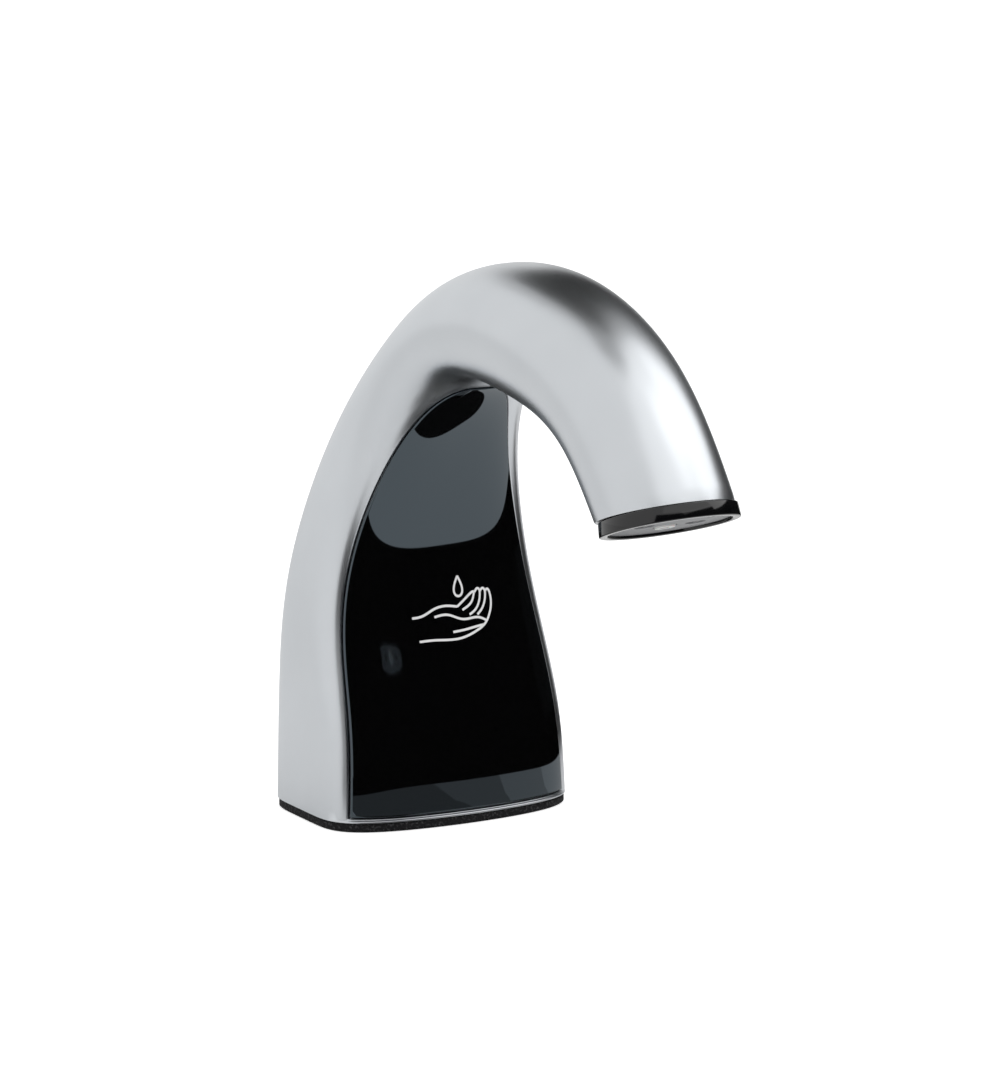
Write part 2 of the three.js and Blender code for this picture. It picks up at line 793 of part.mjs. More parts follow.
function powerSocket() {
  const z = socketWebTop;
  const flange = post(powerSocketRadius, powerSocketHeight, powerSocketX, 0, z, smallSides);
  const holeRadius = powerSocketRadius - shankSocketWall / 4;
  const barrelBottom = z - powerSocketDrop;
  const pinBottom = barrelBottom - cutOverrun;
  const barrel = post(holeRadius - seatGap, powerSocketDrop, powerSocketX, 0, barrelBottom, smallSides);
  const pinHole = post(powerPinRadius, powerSocketDrop, powerSocketX, 0, pinBottom, wireSides);
  return piece("power_socket", cut(join(flange, barrel), pinHole), darkPlastic);
}

function driveFrame() {
  const width = frameRight - frameLeft;
  const depth = frameBack - frameFront;
  const middleX = (frameRight + frameLeft) / 2;
  const plate = block(width, depth, framePlateThickness, middleX, (frameFront + frameBack) / 2, motorTop);
  const postHeight = motorTop - basePlateTop + framePlateThickness / 2;
  const posts = framePostPlaces.map(([x, y]) =>
    post(framePostRadius, postHeight, x, y, basePlateTop, smallSides),
  );
  const through = framePlateThickness + 2 * cutOverrun;
  const from = motorTop - cutOverrun;
  const screwHole = smallScrewRadius + seatGap;
  const screwHoles = [...motorScrewPlaces(), ...pumpLegPlaces()];
  const holes = [
    post(motorHubRadius + seatGap, through, motorX, driveY, from),
    post(driveShaftRadius + runningGap, through, reductionX, driveY, from),
    ...screwHoles.map(([x, y]) => post(screwHole, through, x, y, from, smallSides)),
    ...screwedPosts.map(([x, y]) =>
      post(screwHole, smallScrewLength + cutOverrun, x, y, basePlateTop - cutOverrun, smallSides),
    ),
  ];
  return piece("drive_frame", cut(join(plate, ...posts), ...holes), zincPlated);
}

function motorScrewPlaces() {
  return [-1, 1].map((side) => [motorX + (side * motorScrewSpread) / 2, driveY]);
}

function pumpLegPlaces() {
  return [
    [-pumpLegX, pumpLegFrontY],
    [pumpLegX + smallScrewHeadRadius, pumpLegFrontY],
    [-pumpLegX, pumpLegBackY - pumpLegRadius],
    [pumpLegX + smallScrewHeadRadius, pumpLegBackY - pumpLegRadius],
  ];
}

function motorCan() {
  const can = post(motorRadius, motorLength, motorX, driveY, motorCanBottom, largeSides);
  const hub = post(motorHubRadius, motorHubHeight, motorX, driveY, motorTop, roundSides);
  const chamberHeight = motorLength - motorEndThickness + cutOverrun;
  const chamberBottom = motorCanBottom - cutOverrun;
  const chamber = post(motorRadius - motorCanWall, chamberHeight, motorX, driveY, chamberBottom);
  const shaftHoleRadius = motorShaftRadius + runningGap;
  const motorEndBottom = motorTop - motorEndThickness;
  const shaftHoleBottom = motorEndBottom - cutOverrun;
  const shaftHole = post(shaftHoleRadius, motorLength, motorX, driveY, shaftHoleBottom, smallSides);
  const screwHoles = motorScrewPlaces().map(([x, y]) =>
    post(smallScrewRadius + seatGap, motorEndThickness, x, y, motorEndBottom + seatGap, smallSides),
  );
  return piece("motor_can", cut(join(can, hub), chamber, shaftHole, ...screwHoles), steel);
}

function motorEndCap() {
  const cap = post(motorRadius - seatGap, motorCapThickness, motorX, driveY, motorBottom, largeSides);
  const bearingRadius = motorShaftRadius + runningGap;
  const bearingBottom = motorBottom + cutOverrun;
  const bearing = post(bearingRadius, motorCapThickness, motorX, driveY, bearingBottom, smallSides);
  const terminals = [-1, 1].map((side) => {
    const height = terminalDrop + cutOverrun;
    const x = motorX + side * terminalSpread;
    const bottom = motorBottom - terminalDrop;
    return block(terminalWidth, terminalThickness, height, x, driveY - terminalSetback, bottom);
  });
  return piece("motor_end_cap", join(cut(cap, bearing), ...terminals), darkPlastic);
}

function motorScrews() {
  return motorScrewPlaces().map(([x, y], i) =>
    screwDown(
      `motor_screw_${i + 1}`,
      x,
      y,
      framePlateTop,
      smallScrewRadius,
      framePlateThickness + motorScrewBite,
      smallScrewHeadRadius,
      smallScrewHeadHeight / 2,
    ),
  );
}

// A spur gear's outline. A turn of 0 puts the middle of a tooth on +X.
function gearShape(teeth, module, turn, slack, holeRadius) {
  const pressure = THREE.MathUtils.degToRad(pressureAngle);
  const pitch = (module * teeth) / 2;
  const base = pitch * Math.cos(pressure);
  const root = pitch - dedendumShare * module;
  const tip = pitch + addendumShare * module;
  const involute = (angle) => Math.tan(angle) - angle;
  const halfTooth = Math.PI / (2 * teeth) - slack / (2 * pitch);
  const halfAngleAt = (radius) => {
    const lean = Math.acos(Math.min(base / Math.max(radius, base), 1));
    return halfTooth + involute(pressure) - involute(lean);
  };
  const start = Math.max(base, root + flankStartShare * module);
  const radii = teeth > 2 * pinionTeeth ? [root, pitch, tip] : [root, start, pitch, tip];
  const points = [];
  for (let k = 0; k < teeth; k++) {
    const middle = turn + (2 * Math.PI * k) / teeth;
    const flank = (side) => (radius) => {
      const angle = middle + side * halfAngleAt(radius);
      return new THREE.Vector2(radius * Math.cos(angle), radius * Math.sin(angle));
    };
    points.push(...radii.map(flank(-1)), ...[...radii].reverse().map(flank(1)));
  }
  const shape = new THREE.Shape(points);
  shape.holes.push(new THREE.Path(polygon(holeRadius, smallSides)));
  return shape;
}

function reductionGear() {
  const bore = driveShaftRadius + seatGap;
  const rim = gearShape(reductionTeeth, gearModule, 0, gearSlack, bore);
  const wheel = extruded(rim, gearThickness, reductionX, driveY, gearBottom);
  const hubHeight = gearThickness + gearLift;
  const hub = pipe(gearHubRadius, bore, hubHeight, reductionX, driveY, gearBottom, smallSides);
  return piece("reduction_gear", join(wheel, hub), paleAcetal);
}

function motorPinion() {
  const bore = motorShaftRadius + seatGap / 2;
  const turn = Math.PI / pinionTeeth;
  const shape = gearShape(pinionTeeth, gearModule, turn, gearSlack, bore);
  const bottom = gearBottom - (pinionThickness - gearThickness) / 2;
  return piece("motor_pinion", extruded(shape, pinionThickness, motorX, driveY, bottom), copperBrass);
}

function motorRotor() {
  const bottom = motorBottom + cutOverrun + seatGap;
  const top = gearBottom + pinionThickness;
  const shaft = post(motorShaftRadius, top - bottom, motorX, driveY, bottom, smallSides);
  const armatureBottom = motorCanBottom + (motorLength - motorEndThickness - armatureLength) / 2;
  const armature = post(armatureRadius, armatureLength, motorX, driveY, armatureBottom, roundSides);
  return piece("motor_rotor", join(shaft, armature), steel);
}

function driveShaft() {
  const bottom = motorTop + seatGap;
  const top = pumpChamberTop + runningGap;
  const shaft = post(driveShaftRadius, top - bottom, reductionX, driveY, bottom, smallSides);
  return piece("drive_shaft", shaft, steel);
}

function pumpHousing() {
  const flangeDepth = pumpLegBackY - pumpLegFrontY + pumpLegRadius;
  const flangeMiddle = (pumpLegBackY + pumpLegFrontY - pumpLegRadius) / 2;
  const flangeWidth = pumpFlangeRight - pumpFlangeLeft;
  const flangeX = (pumpFlangeRight + pumpFlangeLeft) / 2;
  const thickness = pumpFlangeThickness;
  const flange = block(flangeWidth, flangeDepth, thickness, flangeX, flangeMiddle, pumpFlangeBottom);
  const bodyWidth = 2 * (pumpGearRadius + pumpWall);
  const bodyDepth = bodyWidth + pumpGearDistance;
  const bodyY = (driveY + idlerY) / 2;
  const castingHeight = pumpChamberTop - pumpFlangeBottom;
  const casting = block(bodyWidth, bodyDepth, castingHeight, reductionX, bodyY, pumpFlangeBottom);
  const legs = pumpLegPlaces().map(([x, y]) =>
    post(pumpLegRadius, pumpStandoff + pumpFlangeThickness / 2, x, y, framePlateTop, smallSides),
  );
  const ports = [-1, 1].map((side) => {
    const from = reductionX + side * (bodyWidth / 2 - cutOverrun);
    return barAlongX(barbRadius, side * (portReach + cutOverrun), from, bodyY, portZ, smallSides);
  });
  const chamberRadius = pumpGearRadius + runningGap;
  const chamberHeight = pumpChamberTop - pumpChamberBottom + cutOverrun;
  const chambers = [driveY, idlerY].map((y) =>
    post(chamberRadius, chamberHeight, reductionX, y, pumpChamberBottom),
  );
  const portHoles = [-1, 1].map((side) => {
    const reach = bodyWidth / 2 + portReach + cutOverrun;
    return barAlongX(portBore, side * reach, reductionX, bodyY, portZ, smallSides);
  });
  const shaftHoleBottom = pumpFlangeBottom - cutOverrun;
  const shaftHole = post(driveShaftRadius + runningGap, 2 * pumpFloor, reductionX, driveY, shaftHoleBottom);
  const screwHoles = pumpLegPlaces().map(([x, y]) => {
    const height = pumpStandoff + pumpFlangeThickness + 2 * cutOverrun;
    return post(smallScrewRadius + seatGap, height, x, y, framePlateTop - cutOverrun, smallSides);
  });
  const holeBottom = pumpChamberTop - smallScrewLength / 2;
  const coverHoles = coverScrewPlaces().map(([x, y]) =>
    post(smallScrewRadius + seatGap, smallScrewLength, x, y, holeBottom, smallSides),
  );
  const body = join(flange, casting, ...legs, ...ports);
  const made = cut(body, ...chambers, ...portHoles, shaftHole, ...screwHoles, ...coverHoles);
  return piece("pump_housing", made, darkPlastic);
}

function coverScrewPlaces() {
  const half = pumpGearRadius + pumpWall - smallScrewHeadRadius - seatGap;
  return [
    [reductionX - half, driveY - half],
    [reductionX + half, driveY - half],
    [reductionX - half, idlerY + half],
    [reductionX + half, idlerY + half],
  ];
}

function pumpCover() {
  const width = 2 * (pumpGearRadius + pumpWall);
  const y = (driveY + idlerY) / 2;
  const plate = block(width, width + pumpGearDistance, pumpCoverThickness, reductionX, y, pumpChamberTop);
  const bearingHeight = pumpCoverThickness / 2 + cutOverrun;
  const bearingBottom = pumpChamberTop - cutOverrun;
  const bearing = post(driveShaftRadius + runningGap, bearingHeight, reductionX, driveY, bearingBottom);
  const holes = coverScrewPlaces().map(([px, py]) =>
    post(smallScrewRadius + seatGap, 2 * pumpCoverThickness, px, py, pumpChamberTop - cutOverrun, smallSides),
  );
  return piece("pump_cover", cut(plate, bearing, ...holes), darkPlastic);
}

function coverScrews() {
  return coverScrewPlaces().map(([x, y], i) =>
    screwDown(
      `cover_screw_${i + 1}`,
      x,
      y,
      pumpTop,
      smallScrewRadius,
      pumpCoverThickness + coverScrewBite,
      smallScrewHeadRadius,
      smallScrewHeadHeight,
    ),
  );
}

function pumpScrews() {
  return pumpLegPlaces().map(([x, y], i) =>
    screwDown(
      `pump_screw_${i + 1}`,
      x,
      y,
      pumpFlangeTop,
      smallScrewRadius,
      pumpStandoff + pumpFlangeThickness,
      smallScrewHeadRadius,
      smallScrewHeadHeight,
    ),
  );
}

function pumpGears() {
  const bottom = pumpChamberBottom + runningGap;
  const quarter = Math.PI / 2;
  const half = Math.PI / pumpTeeth;
  const driveBore = driveShaftRadius + seatGap / 2;
  const drive = gearShape(pumpTeeth, pumpModule, quarter, pumpSlack, driveBore);
  const idler = gearShape(pumpTeeth, pumpModule, -quarter + half, pumpSlack, driveShaftRadius + runningGap);
  return [
    piece("pump_drive_gear", extruded(drive, pumpGearThickness, reductionX, driveY, bottom), paleAcetal),
    piece("pump_idler_gear", extruded(idler, pumpGearThickness, reductionX, idlerY, bottom), paleAcetal),
  ];
}

function idlerPin() {
  const height = pumpGearThickness + runningGap;
  const pin = post(driveShaftRadius, height, reductionX, idlerY, pumpChamberBottom, smallSides);
  return piece("idler_pin", pin, steel);
}

function controlBoard() {
  const z = basePlateTop + boardLift;
  const holes = boardScrewPlaces().map(([x, height]) =>
    barAlongY(smallScrewRadius + seatGap, 2 * boardThickness, x, boardY - boardThickness, height, smallSides),
  );
  const board = block(boardWidth, boardThickness, boardHeight, 0, boardY, z);
  return piece("control_board", cut(board, ...holes), boardGreen);
}

function boardScrews() {
  return boardScrewPlaces().map(([x, z], i) => {
    const face = boardY - boardThickness / 2;
    const shank = barAlongY(smallScrewRadius, boardThickness + boardPostDepth, x, face, z, smallSides);
    const head = barAlongY(smallScrewHeadRadius, -smallScrewHeadHeight, x, face, z, smallSides);
    return piece(`board_screw_${i + 1}`, join(shank, head), steel);
  });
}

const boardBack = boardY + boardThickness / 2;
const boardFront = boardY - boardThickness / 2;
const connectorY = boardBack + connectorDepth / 2;
const connectorZ = basePlateTop + boardLift + boardHeight / 2;
const connectorMiddle = connectorMiddleShare * boardPostX + connectorSpread / 2;
const connectorXs = [-1, 0, 1].map((i) => connectorMiddle + i * connectorSpread);

function connectors() {
  const names = ["motor_connector", "power_connector", "sensor_connector"];
  return names.map((name, i) => {
    const x = connectorXs[i];
    const outside = block(connectorWidth, connectorDepth, connectorHeight, x, connectorY, connectorZ);
    const pocketZ = connectorZ + connectorHeight / 2;
    const pocket = block(connectorWidth / 2, connectorDepth / 2, connectorHeight, x, connectorY, pocketZ);
    return piece(name, cut(outside, pocket), paleAcetal);
  });
}

const switchZ = basePlateTop + boardLift + switchHeightShare * boardHeight;

function serviceSwitch() {
  const y = boardFront - switchDepth / 2;
  const body = block(switchSize, switchDepth, switchSize, switchX, y, switchZ - switchSize / 2);
  const wellEnd = boardFront - switchDepth + buttonPocket;
  const well = barAlongY(buttonRadius + runningGap, -(buttonPocket + cutOverrun), switchX, wellEnd, switchZ);
  return piece("switch_body", cut(body, well), darkPlastic);
}

function serviceButton() {
  const inner = boardFront - switchDepth + buttonPocket - buttonTravel - runningGap;
  const button = barAlongY(buttonRadius, -buttonLength, switchX, inner, switchZ, smallSides);
  return piece("service_button", button, leadRed);
}

function statusLed() {
  const stem = barAlongY(ledRadius, -ledLength, ledX, boardFront, switchZ, smallSides);
  const tip = barAlongY(ledTipRadius, -ledTipLength, ledX, boardFront, switchZ, smallSides);
  return piece("status_led", join(stem, tip), clearSilicone);
}

// Routes inside the body
function alongBody(place, x) {
  return new THREE.Vector3(x, centreY(place), centreZ(place));
}

const valveBottom = faceRecess + faceThickness + seatGap + nozzleFlangeHeight + seatGap;
const valveTop = valveBottom + 2 * valveWeb + valveChamberHeight;
const valveBarbTop = valveTop + barbLength;

// The straight stretch of a hose over a barb, from its end to past the barb's tip.
function overBarb(end, direction) {
  return overBarbShares.map((share) => end.clone().addScaledVector(direction, share * barbLength));
}

function deliveryTube() {
  const y = (driveY + idlerY) / 2;
  const port = reductionX - pumpGearRadius - pumpWall;
  const outX = port - overBarbShares[3] * barbLength - hoseRadius;
  const start = new THREE.Vector3(port - seatGap, y, portZ);
  const end = fromOutlet(0, outletOffset, valveTop + seatGap);
  const upArm = fromOutlet(0, outletOffset, valveTop).sub(fromOutlet(0, outletOffset, 0)).normalize();
  const turn = alongBody(deliveryTurnPlaceShare, 0);
  const [turnY, turnZ] = deliveryTurnShares;
  const points = [
    ...overBarb(start, new THREE.Vector3(-1, 0, 0)),
    ...deliveryRiseShares.map((share) => new THREE.Vector3(outX, y, portZ + share * hoseRadius)),
    new THREE.Vector3(outX / 2, blend(y, turn.y, turnY), blend(portZ, turn.z, turnZ)),
    ...bendPlaceShares.map((place) => alongBody(place, 0)),
    ...overBarb(end, upArm).reverse(),
  ];
  const hose = routed(points, hoseRadius, hoseBore, deliverySteps, hoseSides);
  return piece("delivery_tube", hose, clearSilicone);
}

function suctionTube() {
  const y = (driveY + idlerY) / 2;
  const port = reductionX + pumpGearRadius + pumpWall;
  const outX = frameRight + hoseRadius + hoseClearance;
  const start = new THREE.Vector3(inletX, 0, socketWebTop + barbCollarHeight + seatGap);
  const end = new THREE.Vector3(port + seatGap, y, portZ);
  const points = [
    ...overBarb(start, new THREE.Vector3(0, 0, 1)),
    new THREE.Vector3((inletX + outX) / 2, y / 2, start.z + 2 * barbLength + hoseRadius),
    new THREE.Vector3(outX, y, blend(start.z, motorTop, suctionTurnShare)),
    new THREE.Vector3(outX, y, pumpFlangeBottom),
    new THREE.Vector3(outX - hoseRadius / 3, y, portZ - hoseRadius),
    ...overBarb(end, new THREE.Vector3(1, 0, 0)).reverse(),
  ];
  return piece("suction_tube", routed(points, hoseRadius, hoseBore, suctionSteps, hoseSides), clearSilicone);
}

const sensorBoardBottom = faceRecess + sensorLength + seatGap;
const cableX = hoseRadius + hoseClearance + 4 * leadRadius;

function sensorCable() {
  const top = sensorBoardBottom + sensorBoardThickness;
  const connectorTop = connectorZ + connectorHeight;
  const points = [
    fromOutlet(cableX, outletOffset + leadRadius, top + seatGap),
    fromOutlet(cableX, outletOffset + 3 * leadRadius, top + 2 * hoseRadius),
    ...[...bendPlaceShares].reverse().map((place) => alongBody(place, cableX)),
    new THREE.Vector3(21, 6, 74),
    new THREE.Vector3(23.6, 1.5, 58),
    new THREE.Vector3(23.8, -1.7, 51),
    new THREE.Vector3(23.8, -5.3, 45),
    new THREE.Vector3(20.8, -7.8, 40.6),
    new THREE.Vector3(16.2, -8, 37.5),
    new THREE.Vector3(connectorXs[2], connectorY, connectorTop + hoseRadius),
    new THREE.Vector3(connectorXs[2], connectorY, connectorTop + seatGap),
  ];
  return piece("sensor_cable", routed(points, cableRadius, 0, cableSteps, wireSides), leadBlack);
}

function shortLeads() {
  const powerOut = socketWebTop + powerSocketHeight / 2;
  const terminalZ = motorBottom - terminalDrop - leadRadius;
  const terminalY = driveY - terminalSetback - leadRadius;
  const upTo = (x) => [
    new THREE.Vector3(x, connectorY, connectorZ - hoseRadius),
    new THREE.Vector3(x, connectorY, connectorZ - seatGap),
  ];
  const power = [
    new THREE.Vector3(powerSocketX + powerSocketRadius + seatGap, 0, powerOut),
    new THREE.Vector3(0, -1.5, 13),
    new THREE.Vector3(4, -5, 14.2),
    new THREE.Vector3(7, -7.5, 17.5),
    ...upTo(connectorXs[1]),
  ];
  const motorOne = [
    new THREE.Vector3(motorX - terminalSpread, terminalY, terminalZ),
    new THREE.Vector3(-15.5, -6.6, 12.9),
    new THREE.Vector3(-8, -7.9, 14),
    new THREE.Vector3(-2, -7.8, 18),
    ...upTo(connectorXs[0] - 2 * leadRadius),
  ];
  const motorTwo = [
    new THREE.Vector3(motorX + terminalSpread, terminalY, terminalZ),
    new THREE.Vector3(-5.6, -6, 13.2),
    new THREE.Vector3(-1, -6.6, 15.5),
    new THREE.Vector3(1.6, -7.5, 18.5),
    ...upTo(connectorXs[0] + 2 * leadRadius),
  ];
  return [
    piece("power_lead", routed(power, leadRadius, 0, leadSteps, coilSides), leadBlack),
    piece("motor_lead_1", routed(motorOne, leadRadius, 0, leadSteps, coilSides), leadBlack),
    piece("motor_lead_2", routed(motorTwo, leadRadius, 0, leadSteps, coilSides), leadRed),
  ];
}

// The outlet end, in its own frame
const outletFrom = 1 - (collarSkirtHeight + outletDepth) / centreLineLength;
const collarBore = shellWall + seatGap + collarSkirt;
const outletOffset = outletDepth / 2 - collarBore - valveBackRoom - valveRadius;
const faceScrewTurn = THREE.MathUtils.degToRad(faceScrewAngle);
const faceScrewInset = collarBore + faceScrewRadius + seatGap;
const faceScrewPlaces = [-1, 1].map((side) => [
  side * (outletWidth / 2 - faceScrewInset) * Math.cos(faceScrewTurn),
  -(outletDepth / 2 - faceScrewInset) * Math.sin(faceScrewTurn),
]);

// A ring of the arm's outline near its end, at a height in the outlet's frame.
function outletRing(inset, height) {
  return sectionAngles(1, bodySides).map((angle) => {
    const at = (place) => skinPoint(place, angle, inset).applyMatrix4(outletFrameBack);
    let low = outletFrom;
    let high = 1;
    for (let i = 0; i < halvings; i++) {
      const middle = (low + high) / 2;
      if (at(middle).z > height) low = middle;
      else high = middle;
    }
    return at(high);
  });
}

// A closed solid round a hole, through rings of points that each have the same count.
function ringLoft(rings) {
  const sides = rings[0].length;
  const index = [];
  rings.forEach((ring, i) => {
    const next = (i + 1) % rings.length;
    for (let j = 0; j < sides; j++) {
      const k = (j + 1) % sides;
      const far = next * sides + k;
      index.push(i * sides + j, i * sides + k, far, i * sides + j, far, next * sides + j);
    }
  });
  return solid(new THREE.BufferGeometry().setFromPoints(rings.flat()).setIndex(index));
}

function nozzleCollar() {
  const skirt = shellWall + seatGap;
  const lipTop = faceRecess + faceThickness + seatGap;
  const profile = [
    [-collarFlare, 0],
    [-collarFlare, collarHeight],
    [skirt, collarHeight],
    [skirt, collarSkirtHeight],
    [collarBore, collarSkirtHeight],
    [collarBore, lipTop],
    [collarLip, lipTop],
    [collarLip, 0],
  ];
  const ring = ringLoft(profile.map(([inset, height]) => outletRing(inset, height)));
  const core = loft([0, collarSkirtHeight].map((height) => outletRing(collarBore - collarSkirt / 2, height)));
  const bossBottom = lipTop + seatGap;
  const bossTop = collarSkirtHeight - seatGap;
  const bosses = faceScrewPlaces.map(([x, y]) =>
    post(collarBossRadius, bossTop - bossBottom, x, y, bossBottom, smallSides).intersect(core),
  );
  const holes = faceScrewPlaces.map(([x, y]) =>
    post(faceScrewRadius + seatGap / 2, faceScrewLength, x, y, lipTop - cutOverrun, smallSides),
  );
  return piece("nozzle_collar", cut(join(ring, ...bosses), ...holes), collarBlack);
}

function nozzleFace() {
  const levels = [faceRecess, faceRecess + faceThickness];
  const plate = loft(levels.map((height) => outletRing(collarLip + seatGap, height)));
  const through = faceThickness + 2 * cutOverrun;
  const bottom = faceRecess - cutOverrun;
  const sinkHeight = cutOverrun + faceScrewHeadHeight + seatGap;
  const eyeHoles = [-1, 1].map((side) =>
    post(sensorRadius + seatGap, through, (side * sensorSpread) / 2, sensorY, bottom),
  );
  const screwHoles = faceScrewPlaces.flatMap(([x, y]) => [
    post(faceScrewRadius + seatGap, through, x, y, bottom, smallSides),
    post(faceScrewHeadRadius + seatGap, sinkHeight, x, y, bottom, smallSides),
  ]);
  const nozzleHole = post(nozzleRadius + seatGap, through, 0, outletOffset, bottom);
  return piece("nozzle_face", cut(plate, nozzleHole, ...eyeHoles, ...screwHoles), faceGrey);
}

function faceScrews() {
  const underHead = faceRecess + faceScrewHeadHeight;
  return faceScrewPlaces.map(([x, y], i) =>
    screwUp(
      `face_screw_${i + 1}`,
      x,
      y,
      underHead,
      faceScrewRadius,
      faceScrewLength,
      faceScrewHeadRadius,
      faceScrewHeadHeight,
    ),
  );
}

function outletNozzle() {
  const flangeZ = faceThickness + seatGap;
  const profile = [
    [nozzleBore, -faceRecess / 2],
    [nozzleRadius - seatGap, -faceRecess / 2],
    [nozzleRadius, faceRecess],
    [nozzleRadius, flangeZ],
    [nozzleFlangeRadius, flangeZ],
    [nozzleFlangeRadius, flangeZ + nozzleFlangeHeight],
    [nozzleBore, flangeZ + nozzleFlangeHeight],
    [nozzleBore, -faceRecess / 2],
  ];
  return piece("outlet_nozzle", lathe(profile, 0, outletOffset, faceRecess, roundSides), clearSilicone);
}

function outletValveBody() {
  const chamberBottom = valveWeb;
  const chamberTop = valveWeb + valveChamberHeight;
  const top = chamberTop + valveWeb;
  const profile = [
    [nozzleBore, 0],
    [valveRadius, 0],
    [valveRadius, top],
    [barbRadius, top],
    [barbRadius, top + barbLength],
    [inletBore, top + barbLength],
    [inletBore, chamberTop],
    [valveChamberRadius, chamberTop],
    [valveChamberRadius, chamberBottom],
    [nozzleBore, chamberBottom],
    [nozzleBore, 0],
  ];
  return piece("outlet_valve_body", lathe(profile, 0, outletOffset, valveBottom, roundSides), darkPlastic);
}

const poppetTop = valveBottom + valveWeb + valveChamberHeight - seatGap;

// The poppet's stem ends one travel above the chamber's floor.
function outletPoppet() {
  const stemBottom = poppetTravel + seatGap - valveChamberHeight;
  const profile = [
    [0, stemBottom],
    [poppetStemRadius, stemBottom],
    [poppetStemRadius, -poppetHeadHeight],
    [poppetHeadRadius, -poppetHeadHeight],
    [poppetHeadRadius, -poppetHeadHeight / 2],
    [poppetHeadRadius / 2, 0],
    [0, 0],
  ];
  return piece("outlet_poppet", lathe(profile, 0, outletOffset, poppetTop, smallSides), copperBrass);
}

function outletSpring() {
  const bottom = valveBottom + valveWeb + springWireRadius + seatGap / 3;
  const top = poppetTop - poppetHeadHeight - springWireRadius - seatGap / 3;
  const steps = springTurns * coilSteps;
  const points = Array.from({ length: steps + 1 }, (_, i) => {
    const angle = (2 * Math.PI * i) / coilSteps;
    const x = springMeanRadius * Math.cos(angle);
    const y = outletOffset + springMeanRadius * Math.sin(angle);
    return new THREE.Vector3(x, y, blend(bottom, top, i / steps));
  });
  return piece("outlet_spring", routed(points, springWireRadius, 0, steps, coilSides), steel);
}

function sensorBoard() {
  const levels = [sensorBoardBottom, sensorBoardBottom + sensorBoardThickness];
  const room = loft(levels.map((height) => outletRing(collarBore + seatGap, height)));
  const outer = sensorSpread / 2 + sensorRadius;
  const inner = valveRadius + sensorBoardGap;
  const ring = pipe(outer, inner, sensorBoardThickness, 0, outletOffset, sensorBoardBottom, largeSides);
  return piece("sensor_board", ring.intersect(room), boardGreen);
}

function sensorEyes() {
  const names = ["ir_emitter", "ir_receiver"];
  return names.map((name, i) => {
    const x = ((i ? 1 : -1) * sensorSpread) / 2;
    const dome = sensorDomeShares.map(([across, up]) => [across * sensorRadius, up * sensorRadius]);
    const profile = [...dome, [sensorRadius, sensorLength], [0, sensorLength]];
    return piece(name, lathe(profile, x, sensorY, faceRecess, smallSides), darkLens);
  });
}

outletGroup.add(
  nozzleCollar(),
  nozzleFace(),
  ...faceScrews(),
  outletNozzle(),
  outletValveBody(),
  outletPoppet(),
  outletSpring(),
  sensorBoard(),
  ...sensorEyes(),
);

const dispenser = new THREE.Group();
dispenser.add(
  spoutShell(),
  frontFascia(),
  baseGasket(),
  basePlate(),
  ...baseScrews(),
  ...frameScrews(),
  inletBarb(),
  powerSocket(),
  driveFrame(),
  motorCan(),
  motorEndCap(),
  ...motorScrews(),
  motorRotor(),
  motorPinion(),
  reductionGear(),
  driveShaft(),
  pumpHousing(),
  pumpCover(),
  ...coverScrews(),
  ...pumpScrews(),
  ...pumpGears(),
  idlerPin(),
  controlBoard(),
  ...boardScrews(),
  ...connectors(),
  serviceSwitch(),
  serviceButton(),
  statusLed(),
  deliveryTube(),
  suctionTube(),
  sensorCable(),
  ...shortLeads(),
  outletGroup,
);

export default dispenser;
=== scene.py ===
import json
import math

import bmesh
import bpy
from mathutils import Matrix, Vector


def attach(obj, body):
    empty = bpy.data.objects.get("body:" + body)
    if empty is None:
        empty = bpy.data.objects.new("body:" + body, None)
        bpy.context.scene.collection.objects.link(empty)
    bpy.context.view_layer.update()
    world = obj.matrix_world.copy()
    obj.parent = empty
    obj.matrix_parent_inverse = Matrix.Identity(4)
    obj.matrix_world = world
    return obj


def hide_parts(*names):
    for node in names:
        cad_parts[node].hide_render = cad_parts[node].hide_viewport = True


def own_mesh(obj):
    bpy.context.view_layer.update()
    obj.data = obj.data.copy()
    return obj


# The looks of an automatic soap dispenser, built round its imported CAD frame.
# Shapes are worked out in millimetres and become metres when a mesh is made.

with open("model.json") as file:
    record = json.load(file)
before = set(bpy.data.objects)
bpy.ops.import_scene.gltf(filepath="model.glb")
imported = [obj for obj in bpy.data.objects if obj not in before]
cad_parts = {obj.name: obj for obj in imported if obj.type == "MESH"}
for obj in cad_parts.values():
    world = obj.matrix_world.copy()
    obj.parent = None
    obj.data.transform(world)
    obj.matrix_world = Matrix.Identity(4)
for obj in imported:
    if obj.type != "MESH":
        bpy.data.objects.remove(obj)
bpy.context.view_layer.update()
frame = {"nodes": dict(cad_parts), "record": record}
MM = 0.001

